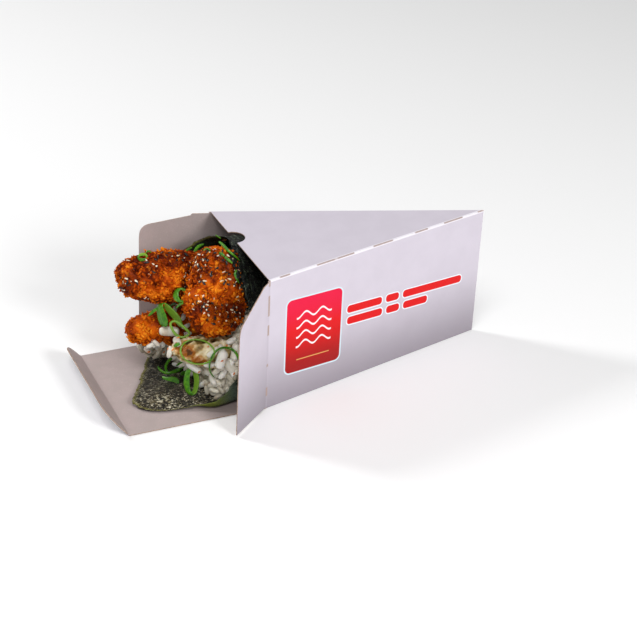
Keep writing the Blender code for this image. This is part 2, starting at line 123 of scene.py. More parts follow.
# A row is a point of the nori's rim, and the X at which the filling ends there
RIM = (
    (-143, -17, 3.0, -103),
    (-135, -1.5, 1.8, -104),
    (-127, 13, 1.8, -108),
    (-118, 30, 2.6, -110),
    (-112, 38, 9, -106),
    (-105, 40, 27, -92),
    (-100, 39, 47, -80),
    (-96, 36, 61, -70),
    (-84, 28.5, 72, -64),
    (-78, 13, 78, -62),
    (-78, -3.6, 71.6, -62),
    (-78, -14, 65.8, -64),
    (-78, -25, 52.8, -68),
    (-80, -33, 38, -74),
    (-84, -36, 26, -80),
    (-89, -34, 15, -86),
    (-100, -33, 7, -94),
    (-118, -31.5, 2.2, -100),
    (-136, -27, 1.8, -102),
)

# The nori's thickness, its lowest height, its points round and along, its waves, how its rows
# crowd towards the rim, a place within the roll, and the points along and across its fold
NORI = 0.3
NORI_REST = 0.75
NORI_ROUND = 340
NORI_ALONG = 124
NORI_WAVE = 0.7
NORI_CROWD = 0.8
ROLL_MIDDLE = (-60, 0, 35)
FOLD_ROWS = 110
FOLD_COLUMNS = 16

# Centre lines of the food, each point with its half width and half height
BREADED_BACK = (
    ((-64, 20, 48), (9, 10)),
    ((-90, 18, 55), (12, 13)),
    ((-115, 16, 59), (13, 15)),
    ((-139, 16, 64), (11, 13)),
)
BREADED_FRONT = (
    ((-90, -14, 35), (16, 11)),
    ((-91, -10, 47), (18, 14)),
    ((-89, -3, 61), (17, 14)),
    ((-86, 6, 77), (13, 11)),
)
BREADED_LOW = (
    ((-84, 9, 27), (8, 8)),
    ((-105, 12, 29), (10, 10)),
    ((-134, 17, 27), (9, 9)),
)
CREAM = (
    ((-76, -13, 25), (9, 9)),
    ((-92, -17, 25), (10, 10)),
    ((-107, -14, 27), (9, 8)),
    ((-117, -8, 28), (7, 6)),
)
RICE_CLUMP = (
    ((-100, 22, 11), (9, 7)),
    ((-112, 23, 12), (8, 6)),
    ((-124, 21, 13), (6, 4)),
)

# The filling inside the cone
FILLING_INSET = 1.4
FILLING_TIP = 0.08
FILLING_FRONT = np.array((-89, -2, 32))
FILLING_BULGE = 3
FILLING_SIDES = 0.7

# Heights and lengths of what is uneven on the surfaces
CRAGS = 2.2
CREAM_WAVES = 1.6
BROAD_LUMPS = 1000 / 150
FINE_LUMPS = 1000 / 330
SHEET_WAVES = 1000 / 60

# The X up to which the crusts and the rice are covered with small things
CRUST_SHOWS = -66
RICE_SHOWS = -62

# Points along and around a cut of onion
ONION_STEPS = 80
ONION_CORNERS = 12

# How much smaller a loose crumb is than its row says
LOOSE_CRUMB = 0.62

UP = (0, 0, 1)

# Places of the dark sauce on each crust, of the sauce in the cream and of the painted light on each crust,
# where light falls brightest, all with their radii
FRONT_SAUCE = (((-97, 2, 76), 8), ((-86, -7, 75), 8), ((-84, -13, 69), 8), ((-98, -8, 70), 6),
               ((-103, -15, 56), 5), ((-98, -19, 54), 6), ((-90, -22, 51), 7), ((-83, -22, 52), 8))
BACK_SAUCE = (((-123, 8, 72), 5), ((-134, 7, 67), 5), ((-101, 9, 67), 7), ((-114, 12, 73), 7),
              ((-105, 12, 71), 7), ((-106, 6, 56), 5), ((-138, 9, 60), 4))
LOW_SAUCE = (((-112, 5, 24), 6),)
CREAM_SAUCE = (
    ((-111.7, -19, 30), 5.5), ((-115.5, -15, 31.5), 5), ((-108, -23, 26), 4.5), ((-105, -24, 24.5), 4),
)
FRONT_PAINTED_LIGHT = (((-97, -13, 63), 9), ((-88, -17, 62), 8), ((-93, -22, 43), 8), ((-101, -19, 46), 6))
BACK_PAINTED_LIGHT = (((-118, 6, 57), 9), ((-110, 6, 63), 8), ((-118, 6, 66), 7), ((-127, 6, 55), 7))
LOW_PAINTED_LIGHT = (((-128, 9, 30), 8),)

# Grains that lie loose on the rest, as the photograph shows them: pixel across and down,
# turn in the picture in degrees, and shares of a grain's length and breadth
LOOSE_RICE = (
    (177.5, 305, 60, 0.85, 0.85), (175.5, 311, 80, 0.8, 0.85), (183, 318, 70, 0.85, 0.85),
    (186, 327, 40, 0.85, 0.85), (187.5, 333, 10, 0.8, 0.8), (151, 344, 20, 0.95, 0.95),
    (156.5, 341.5, -30, 0.95, 0.95), (160.5, 347, 45, 0.95, 0.9), (148.5, 350, -20, 0.8, 0.9),
    (163.5, 343, 80, 0.8, 0.85), (171, 352, 60, 1.0, 1.0), (168.5, 345, -40, 0.9, 0.9),
    (174.5, 358, 20, 1.0, 0.95), (178, 366, -15, 1.05, 1.0), (192, 373, 10, 1.05, 1.05),
    (199, 378, -10, 1.05, 1.05), (203, 384, 30, 1.0, 1.0), (213.5, 353, 40, 1.15, 1.15),
    (222, 351, -60, 1.1, 1.1), (231.5, 342, 50, 1.15, 1.15), (234, 360, 80, 1.15, 1.2),
    (226, 367, -30, 1.25, 1.2), (216, 369, 60, 1.15, 1.15), (208.5, 364, -20, 1.1, 1.1),
    (224, 374, 80, 1.15, 1.15), (213.5, 380, -50, 1.05, 1.1), (233, 372, -70, 1.15, 1.15),
)
WHITE_CHUNKS = (
    (170, 331.5, -4, 1.1, 1.05),
    (178, 343, -60, 0.7, 0.8),
    (195, 366, -25, 0.9, 0.9),
    (222, 359, 70, 1.0, 1.1),
    (230, 365, -60, 0.9, 1.0),
    (237, 352, 75, 0.9, 1.0),
    (212, 372, -20, 0.8, 0.9),
    (156, 343, -40, 0.55, 0.75),
)
LOOSE_CRUMBS = (
    (149, 352, 20, 1.6, 1.8), (146, 345, 70, 1.5, 1.8), (227, 345, 80, 1.6, 1.2), (222, 361, 30, 1.2, 1.2),
    (234, 374, 60, 1.4, 1.3), (173, 350, 10, 1.6, 1.5), (178, 338, 40, 1.6, 1.5), (181, 346, 80, 1.5, 1.4),
    (168, 349, 30, 1.2, 1.2), (186, 341, 20, 1.8, 1.6), (176, 344, 60, 1.6, 1.6), (190, 338, 5, 1.6, 1.4),
    (164, 352, 50, 1.2, 1.2), (208, 347, 70, 1.1, 1.1), (226, 347, 70, 1.5, 1.1), (224, 240, 70, 3.2, 1.6),
    (226, 244, 30, 2.4, 1.4), (236, 352, 50, 1.1, 1.1), (172, 356, 20, 1.3, 1.2), (199, 372, 40, 1.2, 1.2),
)


# Places and lists of points

def along(points, share, closed=False):
    """Points on the smooth curve through the given ones, at shares of its way."""
    points = np.asarray(points, float)
    count = len(points)
    place = np.asarray(share, float) * (count if closed else count - 1)
    first = np.floor(place).astype(int)
    if not closed:
        first = np.clip(first, 0, count - 2)
    t = (place - first)[..., None]
    steps = [first + step for step in (-1, 0, 1, 2)]
    steps = [step % count if closed else np.clip(step, 0, count - 1) for step in steps]
    a, b, c, d = (points[step] for step in steps)
    bend = 2 * a - 5 * b + 4 * c - d
    twist = 3 * b - a - 3 * c + d
    return (2 * b + (c - a) * t + bend * t**2 + twist * t**3) / 2


def unit(vectors):
    vectors = np.asarray(vectors, float)
    return vectors / np.maximum(np.linalg.norm(vectors, axis=-1, keepdims=True), 1e-9)


def oval(x, y, across, down, turn=0.0):
    """Points round an oval in the picture."""
    turn = math.radians(turn)
    angles = [2 * math.pi * step / 12 for step in range(12)]
    return [(x + across * math.cos(angle) * math.cos(turn) - down * math.sin(angle) * math.sin(turn),
             y + across * math.cos(angle) * math.sin(turn) + down * math.sin(angle) * math.cos(turn))
            for angle in angles]


def sides(points, breadths):
    """The two edges of a strip along a line in the picture."""
    line = np.asarray(points, float)
    way = np.gradient(line, axis=0)
    way /= np.linalg.norm(way, axis=1, keepdims=True)
    off = np.stack((-way[:, 1], way[:, 0]), axis=1) * np.asarray(breadths, float)[:, None] / 2
    return line + off, line - off


def noise_at(points, size, shift=0.0):
    """Smooth noise between about -1 and 1, with lumps of about the given size."""
    scale = 1 / size
    flat = (np.asarray(points, float).reshape(-1, 3) * scale + shift).tolist()
    values = [noise.noise(point) for point in flat]
    return np.array(values).reshape(np.shape(points)[:-1])


def cells_at(points, size, shift=0.0):
    """How far a point is from the nearest of scattered cell centres, 0 at a centre and about 1 between."""
    scale = 1 / size
    flat = (np.asarray(points, float).reshape(-1, 3) * scale + shift).tolist()
    values = [noise.voronoi(point)[0][0] for point in flat]
    return np.array(values).reshape(np.shape(points)[:-1])


def smooth_step(low, high, values):
    share = np.clip((values - low) / (high - low), 0, 1)
    return share * share * (3 - 2 * share)


# Meshes

def mesh_from(name, points, faces, smooth=True):
    """A mesh object in metres, at the origin."""
    mesh = bpy.data.meshes.new(name)
    mesh.from_pydata((np.asarray(points) * MM).tolist(), [], [list(map(int, face)) for face in faces])
    mesh.validate()
    if smooth:
        mesh.shade_smooth()
    return in_scene(name, mesh)


def in_scene(name, data):
    """A new object of the scene, at the origin."""
    obj = bpy.data.objects.new(name, data)
    bpy.context.scene.collection.objects.link(obj)
    return obj


def grid_faces(rows, columns, round_columns=False):
    """The quads of a grid of points, row by row, whose last column may join the first."""
    row, column = np.meshgrid(np.arange(rows - 1), np.arange(columns - (not round_columns)), indexing="ij")
    row, column = row.ravel(), column.ravel()
    beside = (column + 1) % columns
    corners = (row * columns + column, row * columns + beside, (row + 1) * columns + beside)
    return np.stack((*corners, (row + 1) * columns + column), axis=1)


def tube_faces(rows, columns, closed=False):
    """The quads round a tube and its two end faces, or those of a tube that closes on itself."""
    if closed:
        return grid_faces(rows + 1, columns, True) % (rows * columns)
    first = list(range(columns))
    last = [(rows - 1) * columns + corner for corner in first]
    return [*grid_faces(rows, columns, True).tolist(), first[::-1], last]


def outwards(obj):
    """Merges doubles and turns all faces outwards."""
    shape = bmesh.new()
    shape.from_mesh(obj.data)
    bmesh.ops.remove_doubles(shape, verts=shape.verts, dist=0.001 * MM)
    bmesh.ops.recalc_face_normals(shape, faces=shape.faces)
    if shape.calc_volume(signed=True) < 0:
        bmesh.ops.reverse_faces(shape, faces=shape.faces)
    shape.to_mesh(obj.data)
    shape.free()
    return obj


def write_attribute(obj, name, values):
    attribute = obj.data.attributes.new(name, "FLOAT", "POINT")
    attribute.data.foreach_set("value", np.asarray(values, np.float32).ravel())


def made_plain(obj):
    """The object with its modifiers made part of its mesh."""
    bpy.context.view_layer.update()
    graph = bpy.context.evaluated_depsgraph_get()
    mesh = bpy.data.meshes.new_from_object(obj.evaluated_get(graph))
    mesh.name = obj.name
    obj.modifiers.clear()
    obj.data = mesh
    return obj


def tree_of(obj):
    points = [tuple(vert.co) for vert in obj.data.vertices]
    return BVHTree.FromPolygons(points, [tuple(face.vertices) for face in obj.data.polygons])


def put_on(obj, slot, *nodes, body=ROLL):
    """The piece rides on its body and stands for its nodes, whose solids are hidden. The slot is not used."""
    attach(obj, body)
    if nodes:
        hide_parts(*nodes)


def joined(name, objects):
    """Several mesh objects made one."""
    shape = bmesh.new()
    for obj in objects:
        shape.from_mesh(obj.data)
    mesh = bpy.data.meshes.new(name)
    shape.to_mesh(mesh)
    shape.free()
    for material in objects[0].data.materials:
        mesh.materials.append(material)
    for obj in objects:
        bpy.data.objects.remove(obj)
    return in_scene(name, mesh)


# Material building blocks

def colour(hexadecimal):
    """A screen colour such as d9700f as linear red, green, blue and alpha."""
    parts = [int(hexadecimal[i:i + 2], 16) / 255 for i in (0, 2, 4)]
    return (*(part / 12.92 if part <= 0.04045 else ((part + 0.055) / 1.055) ** 2.4 for part in parts), 1)


def feed(tree, socket, value):
    """Links a socket to the output given, or sets its own value."""
    if isinstance(value, bpy.types.NodeSocket):
        tree.links.new(value, socket)
    else:
        socket.default_value = value


def add_node(tree, kind, settings=None, **inputs):
    """A new node. An input is named with _ for a space, or by its number after a letter, as i0."""
    node = tree.nodes.new(kind)
    for key, value in (settings or {}).items():
        setattr(node, key, value)
    for key, value in inputs.items():
        socket = node.inputs[int(key[1:])] if key[1:].isdigit() else node.inputs[key.replace("_", " ")]
        feed(tree, socket, value)
    return node


class Paint:
    """A new material, with short ways to add the nodes that its pattern needs."""

    def __init__(self, name, roughness=0.5, **inputs):
        self.material = bpy.data.materials.new(name)
        self.material.use_nodes = True
        self.tree = self.material.node_tree
        self.shader = self.tree.nodes["Principled BSDF"]
        self.shader.inputs["Roughness"].default_value = roughness
        for key, value in inputs.items():
            self.shader.inputs[key.replace("_", " ")].default_value = value
        self.place = self.tree.nodes.new("ShaderNodeTexCoord").outputs["Object"]

    def add(self, kind, settings=None, **inputs):
        return add_node(self.tree, kind, settings, **inputs)

    def math(self, operation, first, second=0.0):
        return self.add("ShaderNodeMath", {"operation": operation}, i0=first, i1=second).outputs[0]

    def times(self, first, second):
        return self.math("MULTIPLY", first, second)

    def plus(self, first, second):
        return self.math("ADD", first, second)

    def minus(self, first, second):
        return self.math("SUBTRACT", first, second)

    def most_of(self, values):
        """The greatest of several values."""
        return reduce(lambda first, second: self.math("MAXIMUM", first, second), values)

    def vector(self, operation, first, second=(0, 0, 0), output=0):
        return self.add("ShaderNodeVectorMath", {"operation": operation}, i0=first, i1=second).outputs[output]

    def axis(self, letter):
        """One coordinate of the place, in metres."""
        return self.add("ShaderNodeSeparateXYZ", Vector=self.place).outputs[letter]

    def stretched(self, scale, turn=0.0, place=None):
        """The place scaled along its axes and turned about Z, in degrees, to draw a pattern out."""
        node = self.add("ShaderNodeMapping", Vector=place or self.place, Scale=scale,
                        Rotation=(0, 0, math.radians(turn)))
        return node.outputs[0]

    def noise(self, size, detail=3.0, roughness=0.55, place=None, distortion=0.0):
        """Noise with lumps of about this many millimetres, from 0 to 1."""
        node = self.add("ShaderNodeTexNoise", Vector=place or self.place, Scale=1 / (size * MM),
                        Detail=detail, Roughness=roughness, Distortion=distortion)
        return node.outputs["Fac"]

    def flakes(self, size, place):
        """A random value for each cell of about this many millimetres."""
        node = self.add("ShaderNodeTexVoronoi", Vector=place, Scale=1 / (size * MM))
        return self.add("ShaderNodeSeparateColor", Color=node.outputs["Color"]).outputs[0]

    def attribute(self, name):
        return self.add("ShaderNodeAttribute", {"attribute_name": name}).outputs["Fac"]

    def spread(self, value, low, high, start=0.0, end=1.0):
        """The value from low to high made start to end, and held there outside it."""
        node = self.add("ShaderNodeMapRange", {"interpolation_type": "SMOOTHSTEP"}, Value=value)
        for key, number in (("From Min", low), ("From Max", high), ("To Min", start), ("To Max", end)):
            node.inputs[key].default_value = number
        return node.outputs["Result"]

    def ramp(self, value, stops):
        """Colours at places of a scale from 0 to 1."""
        node = self.add("ShaderNodeValToRGB", Fac=value)
        elements = node.color_ramp.elements
        while len(elements) < len(stops):
            elements.new(0.5)
        for element, (position, shade) in zip(elements, stops):
            element.position = position
            element.color = colour(shade)
        return node.outputs["Color"]

    def mix(self, share, first, second):
        """Two colours mixed. A colour may be given as its screen code."""
        node = self.add("ShaderNodeMix", {"data_type": "RGBA", "clamp_factor": True}, i0=share)
        for socket, value in ((node.inputs[6], first), (node.inputs[7], second)):
            feed(self.tree, socket, colour(value) if isinstance(value, str) else value)
        return node.outputs[2]

    def near(self, centre, radius, warp=None):
        """1 at a place given in millimetres, fading to 0 at the radius."""
        away = self.vector("DISTANCE", warp or self.place, Vector(centre) * MM, output=1)
        return self.spread(away, radius * MM, radius * 0.45 * MM)

    def spots(self, spots, warp=None):
        """The greatest of near() over places with their radii."""
        return self.most_of([self.near(centre, radius, warp) for centre, radius in spots])

    def warped(self, size, reach):
        """The place moved about by noise, so that an edge drawn with it is uneven."""
        node = self.add("ShaderNodeTexNoise", Vector=self.place, Scale=1 / (size * MM), Detail=2.0)
        shift = self.vector("SUBTRACT", node.outputs["Color"], (0.5, 0.5, 0.5))
        settings = {"operation": "MULTIPLY_ADD"}
        added = self.add("ShaderNodeVectorMath", settings, i0=shift, i1=(reach * MM,) * 3, i2=self.place)
        return added.outputs[0]

    def bump(self, height, depth, below=None):
        """Relief of the given depth in millimetres over what is below it."""
        node = self.add("ShaderNodeBump", Height=height, Distance=depth * MM)
        if below:
            self.tree.links.new(below, node.inputs["Normal"])
        return node.outputs["Normal"]

    def finish(self, **inputs):
        for key, value in inputs.items():
            feed(self.tree, self.shader.inputs[key.replace("_", " ")], value)
        return self.material


# Card

def near_wall_place(paint):
    """Where a point lies on the near wall: along it from the mouth, and off its plane."""
    start = Vector((MOUTH, -SIDE, 0))
    way = (Vector((TIP, TIP_OFFSET, 0)) - start).normalized()
    from_start = paint.vector("SUBTRACT", paint.place, start * MM)
    share = paint.vector("DOT_PRODUCT", from_start, way, output=1)
    off = paint.math("ABSOLUTE", paint.vector("DOT_PRODUCT", from_start, way.cross(Vector(UP)), output=1))
    return share, off


def rounded_box(paint, share, height, centre, half, corner):
    """How far outside a box with round corners a point of the wall is, in metres."""
    beyond = []
    for value, middle, reach in zip((share, height), centre, half):
        away = paint.math("ABSOLUTE", paint.minus(value, middle * MM))
        beyond.append(paint.math("MAXIMUM", paint.minus(away, (reach - corner) * MM), 0.0))
    squares = [paint.math("POWER", length, 2.0) for length in beyond]
    length = paint.math("SQRT", paint.plus(*squares))
    return paint.minus(length, corner * MM)


def inside(paint, distance, margin=0.0):
    """1 within a shape grown by the margin, with a soft edge of a fifth of a millimetre."""
    return paint.spread(distance, (margin + 0.1) * MM, (margin - 0.1) * MM)


def printed(paint, base):
    """A red field with plain waves, and plain red bars beside it, on the near wall."""
    share, off = near_wall_place(paint)
    height = paint.axis("Z")
    slanted = paint.plus(height, paint.times(share, PRINT_SLANT))
    on_wall = paint.spread(off, 1.2 * MM, 0.8 * MM)

    field = rounded_box(paint, share, slanted, FIELD_CENTRE, FIELD_HALF, FIELD_CORNER)
    up = paint.spread(slanted, (FIELD_CENTRE[1] - FIELD_HALF[1]) * MM, (FIELD_CENTRE[1] + FIELD_HALF[1]) * MM)
    red = paint.ramp(up, ((0.0, "9c0404"), (0.3, "c80202"), (0.62, "dc0410"), (1.0, "e2063e")))
    waves = []
    swing = paint.times(paint.math("SINE", paint.times(share, WAVE_TURNS / MM)), WAVE_SWING * MM)
    for level in WAVE_LEVELS:
        line = paint.math("ABSOLUTE", paint.minus(paint.minus(slanted, level * MM), swing))
        waves.append(paint.spread(line, 0.75 * MM, 0.4 * MM))
    middle = rounded_box(paint, share, slanted, FIELD_CENTRE, (FIELD_HALF[0] - 7, FIELD_HALF[1]), 3)
    red = paint.mix(paint.times(paint.most_of(waves), inside(paint, middle)), red, "f2e9ec")
    rule = rounded_box(paint, share, slanted, (FIELD_CENTRE[0], FIELD_CENTRE[1] - 15.5), (11.5, 0.3), 0.3)
    red = paint.mix(inside(paint, rule), red, "d9a05a")

    border = paint.times(inside(paint, field, FIELD_BORDER), on_wall)
    shade = paint.mix(border, base, "cfe2ea")
    shade = paint.mix(paint.times(inside(paint, field), on_wall), shade, red)
    for start, end, level in PRINT_BARS:
        half = ((end - start) / 2, BAR_HALF_HEIGHT)
        bar = rounded_box(paint, share, slanted, ((start + end) / 2, level), half, BAR_CORNER)
        shade = paint.mix(paint.times(inside(paint, bar, BAR_BORDER), on_wall), shade, "e6eef4")
        shade = paint.mix(paint.times(inside(paint, bar), on_wall), shade, "da0408")
    return shade


def dashes(paint, run, size, share_bare, seed):
    """Uneven dashes along a way in metres: 1 on a dash, 0 between."""
    start = paint.add("ShaderNodeCombineXYZ", X=run, Y=seed * 0.1).outputs[0]
    return paint.spread(paint.noise(size, 0, place=start), share_bare - 0.02, share_bare + 0.02)


def cut_creases(paint, shade):
    """The near top crease, with a painted highlight along its ridge, pressed and partly cut through, so that
    the brown core shows.
    """
    share, off = near_wall_place(paint)
    under_top = paint.math("ABSOLUTE", paint.minus(paint.axis("Z"), CASE_HEIGHT * MM))
    top_line = paint.math("MAXIMUM", under_top, off)
    # Painted highlight: a paler band along the top crease's ridge.
    light = paint.spread(top_line, 1.5 * MM, 0.9 * MM)
    shade = paint.mix(paint.times(light, 0.75), shade, "f4f1f7")
    cut = paint.times(paint.spread(top_line, 0.8 * MM, 0.5 * MM), dashes(paint, share, 14, 0.5, 1))
    return paint.mix(paint.times(cut, 0.8), shade, "9d8378")


def card_outside():
    """White coated board with a lavender cast, with painted shade darkening it towards the table, and the
    print.
    """
    paint = Paint("card_white", 0.5, Specular_IOR_Level=0.25)
    tint = paint.spread(paint.noise(14, 4), 0.3, 0.7)
    shade = paint.mix(tint, "cfc8d3", "cbc4cf")
    height = paint.axis("Z")
    # Painted shade: the board darker towards the table.
    shade = paint.mix(paint.spread(height, 52 * MM, -10 * MM, 0, 0.86), shade, "857d85")
    shade = cut_creases(paint, printed(paint, shade))
    return paint.finish(Base_Color=shade, Normal=paint.bump(paint.noise(0.5, 2), 0.02))


def kraft_colour(paint):
    """Grey-brown board with short fibres and specks."""
    fibres = paint.stretched((1, 4, 1))
    base = paint.mix(paint.spread(paint.noise(9, 5), 0.3, 0.7), "b3a4a2", "ada09d")
    base = paint.mix(paint.spread(paint.noise(0.6, 2, place=fibres), 0.58, 0.7, 0, 0.35), base, "8c7b74")
    return paint.mix(paint.spread(paint.noise(0.9, 2), 0.62, 0.72, 0, 0.3), base, "cdc2bd")


def card_inside():
    """The uncoated side, with painted shade in the corner behind the near flap."""
    paint = Paint("card_kraft", 0.85, Specular_IOR_Level=0.2)
    # Painted shade where the near flap shades the lid's corner.
    shade = paint.mix(paint.times(paint.near((-82, -40, 0), 32), 0.5), kraft_colour(paint), "5f5450")
    return paint.finish(Base_Color=shade, Normal=paint.bump(paint.noise(0.45, 3), 0.05))


def card_edge():
    """The cut edge, where the board's brown core shows."""
    paint = Paint("card_cut_edge", 0.9)
    shade = paint.mix(paint.spread(paint.noise(1.2, 3), 0.35, 0.65), "b79c89", "8f7767")
    return paint.finish(Base_Color=shade)


def merged_copy(node):
    """A piece with the shape of a solid, its points merged and its flat faces joined."""
    shape = bmesh.new()
    shape.from_mesh(NODES[node].data)
    bmesh.ops.remove_doubles(shape, verts=shape.verts, dist=0.002 * MM)
    bmesh.ops.dissolve_limit(shape, angle_limit=math.radians(1), verts=shape.verts, edges=shape.edges)
    return shape


def card_object(name, shape, materials, side_of):
    """A card piece whose faces take the outside, inside or edge board."""
    for face in shape.faces:
        face.material_index = side_of(face)
    mesh = bpy.data.meshes.new(name)
    shape.to_mesh(mesh)
    shape.free()
    for material in materials:
        mesh.materials.append(material)
    return in_scene(name, mesh)


OUTSIDE, INSIDE, EDGE = 0, 1, 2


def panel_side(inner):
    """Which board a flat panel's face shows, from the way that its inner face looks."""
    inner = Vector(inner).normalized()

    def side_of(face):
        facing = face.normal.dot(inner)
        return INSIDE if facing > 0.5 else OUTSIDE if facing < -0.5 else EDGE

    return side_of


def case_side(face):
    """Which board a face of the case shows: its cut edges at the mouth and the notch, or one of its sides."""
    middle = face.calc_center_median() / MM
    normal = face.normal
    if normal.x < -0.9 or (middle.z > CASE_HEIGHT - CARD and abs(normal.z) < 0.5 and middle.x < MOUTH + 8):
        return EDGE
    within = Vector((MOUTH + 50, -2, CASE_HEIGHT / 2))
    return OUTSIDE if normal.dot(middle - within) > 0 else INSIDE


def make_card(materials):
    """The case and its four panels, in the boards of their sides."""
    panels = {
        "lid": ("lid", (0, 0, 1)),
        "tuck_lip": ("tuck_lip", (math.sin(LIP_ANGLE), 0, math.cos(LIP_ANGLE))),
        "near_flap": ("near_flap", (math.sin(NEAR_FLAP_ANGLE), -math.cos(NEAR_FLAP_ANGLE), 0)),
        "far_flap": ("far_flap", (-math.sin(FAR_FLAP_ANGLE), math.cos(FAR_FLAP_ANGLE), 0)),
    }
    for node, (body, inner) in panels.items():
        obj = card_object("card_" + node, merged_copy(node), materials, panel_side(inner))
        put_on(obj, "white_card", node, body=body)
    obj = card_object("card_case", merged_copy("case_body"), materials, case_side)
    put_on(obj, "white_card", "case_body")


def crease_finish():
    """The pressed crease: white outside with painted shade towards the table, and cut through in short dashes.
    """
    paint = Paint("card_crease", 0.5, Specular_IOR_Level=0.25)
    height = paint.axis("Z")
    # Painted shade: darker towards the table, as on the card's outside.
    shade = paint.mix(paint.spread(height, 52 * MM, -10 * MM, 0, 0.7), "c9c1cc", "857d85")
    shade = paint.mix(paint.times(dashes(paint, height, 6, 0.54, 2), 0.75), shade, "a88d7c")
    return paint.finish(Base_Color=shade, Normal=paint.bump(paint.noise(0.6, 2), 0.04))


def crease_strip(name, ends, ways, reach, inner, materials):
    """Card bent round a crease, between two points of its line, into both of its panels."""
    low, high = np.asarray(ends, float)
    into_first, into_second = unit(ways)
    shares = np.array((1, 0.5, 0.12))
    profile = [into_first * reach[0] * share for share in shares]
    profile += [into_second * reach[1] * share for share in shares[::-1]]
    profile = np.array(profile)
    line = unit(high - low)
    run = unit(np.gradient(profile, axis=0))
    normal = np.cross(line, run)
    normal *= np.sign(normal @ np.asarray(inner, float))[:, None]
    section = np.concatenate((profile + normal * STRIP_HALF, (profile - normal * STRIP_HALF)[::-1]))
    levels = np.linspace(0, 1, STRIP_ROWS)[:, None, None]
    points = low + (high - low) * levels + section
    faces = tube_faces(STRIP_ROWS, len(section))
    obj = outwards(mesh_from(name, points.reshape(-1, 3), faces, smooth=False))
    for material in materials:
        obj.data.materials.append(material)
    for face in obj.data.polygons:
        face.material_index = 1 if face.normal.dot(Vector(inner)) > 0.2 else 0
    return obj


def bend_between(obj, place, into_first, into_second):
    """Bakes the strip's placement into its mesh."""
    start = Vector(place) + Vector(into_first).normalized() * BEND_START
    end = Vector(place) + Vector(into_second) * CREASE
    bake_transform(obj)


def make_creases(materials):
    """The bent card at each crease."""
    low, high = 0.15, CASE_HEIGHT - 0.15
    near_way = (math.cos(NEAR_FLAP_ANGLE), math.sin(NEAR_FLAP_ANGLE), 0)
    far_way = (math.cos(FAR_FLAP_ANGLE), math.sin(FAR_FLAP_ANGLE), 0)
    near_wall = (TIP - MOUTH, TIP_OFFSET + SIDE, 0)
    far_wall = (TIP - MOUTH, TIP_OFFSET - SIDE, 0)
    lip_way = (-math.cos(LIP_ANGLE), 0, math.sin(LIP_ANGLE))
    flaps = (("near_flap", -SIDE + CARD / 2, near_way, near_wall, (-0.4, 0.9, 0)),
             ("far_flap", SIDE - CARD / 2, far_way, far_wall, (-0.2, -1, 0)))
    for flap, y, way, wall, inner in flaps:
        ends = ((MOUTH, y, low), (MOUTH, y, high))
        reach = (STRIP_IN_CASE, STRIP_IN_PANEL)
        obj = crease_strip(f"crease_{flap}", ends, (wall, way), reach, inner, materials)
        bend_between(obj, (MOUTH, y, 0), wall, way)
    floor = ((ROLL, "lid", MOUTH, (-1, 0, 0), STRIP_IN_CASE),
             ("lid", "tuck_lip", MOUTH - LID_LENGTH, lip_way, STRIP_IN_PANEL))
    inwards = (1, 0, 0)
    for first, second, x, way, reach in floor:
        ends = ((x, -SIDE + 0.1, CARD / 2), (x, SIDE - 0.1, CARD / 2))
        obj = crease_strip(f"crease_{second}", ends, (inwards, way), (reach, STRIP_IN_PANEL), UP, materials)
        bend_between(obj, (x, 0, CARD / 2), inwards, way)


# Stage

def make_stage():
    """A plain pale floor just under the card, as wide as the camera sees."""
    size = 3
    mesh = bpy.data.meshes.new("floor")
    corners = [(-size, -size, 0), (size, -size, 0), (size, size, 0), (-size, size, 0)]
    mesh.from_pydata(corners, [], [(0, 1, 2, 3)])
    obj = in_scene("floor", mesh)
    obj.location.z = -FLOOR_GAP * MM
    paint = Paint("floor_white", 0.9, Specular_IOR_Level=0.0)
    mesh.materials.append(paint.finish(Base_Color=(0.95, 0.95, 0.95, 1)))


def area_light(name, place, aim, size, power):
    """A round soft light at a place in metres, turned to what it lights."""
    light = bpy.data.lights.new(name, "AREA")
    light.shape = "DISK"
    light.size = size
    light.energy = power
    obj = in_scene(name, light)
    obj.location = place
    obj.rotation_euler = (Vector(aim) - Vector(place)).to_track_quat("-Z", "Y").to_euler()


def make_light():
    """Three soft lights in even white surroundings."""
    area_light("key", (-0.85, 0.8, 0.85), (-0.04, 0, 0.04), 0.3, 8)
    area_light("front", (0.35, -1.4, 0.8), (-0.02, 0, 0.05), 0.5, 14)
    area_light("above", (-0.5, -0.6, 1.3), (0, 0, 0.04), 0.6, 6.5)
    world = bpy.data.worlds.new("studio")
    world.use_nodes = True
    background = world.node_tree.nodes["Background"]
    background.inputs["Color"].default_value = (1, 1, 1, 1)
    background.inputs["Strength"].default_value = 0.36
    bpy.context.scene.world = world


def camera_ways():
    """Right, up and ahead of the camera."""
    ahead = Vector((math.sin(CAMERA_YAW) * math.cos(CAMERA_PITCH),
                    math.cos(CAMERA_YAW) * math.cos(CAMERA_PITCH), -math.sin(CAMERA_PITCH)))
    level = Vector((math.cos(CAMERA_YAW), -math.sin(CAMERA_YAW), 0))
    upward = level.cross(ahead)
    right = level * math.cos(CAMERA_ROLL) + upward * math.sin(CAMERA_ROLL)
    top = upward * math.cos(CAMERA_ROLL) - level * math.sin(CAMERA_ROLL)
    return right, top, ahead


def make_camera():
    """The camera of the photograph's view."""
    right, top, ahead = camera_ways()
    lens = bpy.data.cameras.new("camera")
    lens.lens = CAMERA_LENS
    lens.sensor_width = SENSOR
    lens.clip_start = 0.01
    camera = in_scene("camera", lens)
    place = Matrix((right, top, -ahead)).transposed().to_4x4()
    place.translation = CAMERA_PLACE
    camera.matrix_world = place
    bpy.context.scene.camera = camera


# Places in the picture

def picture_way(x, y):
    """The way from the camera through a pixel of the photograph."""
    right, top, ahead = camera_ways()
    return (ahead * FOCAL + right * (x - PICTURE / 2) - top * (y - PICTURE / 2)).normalized()


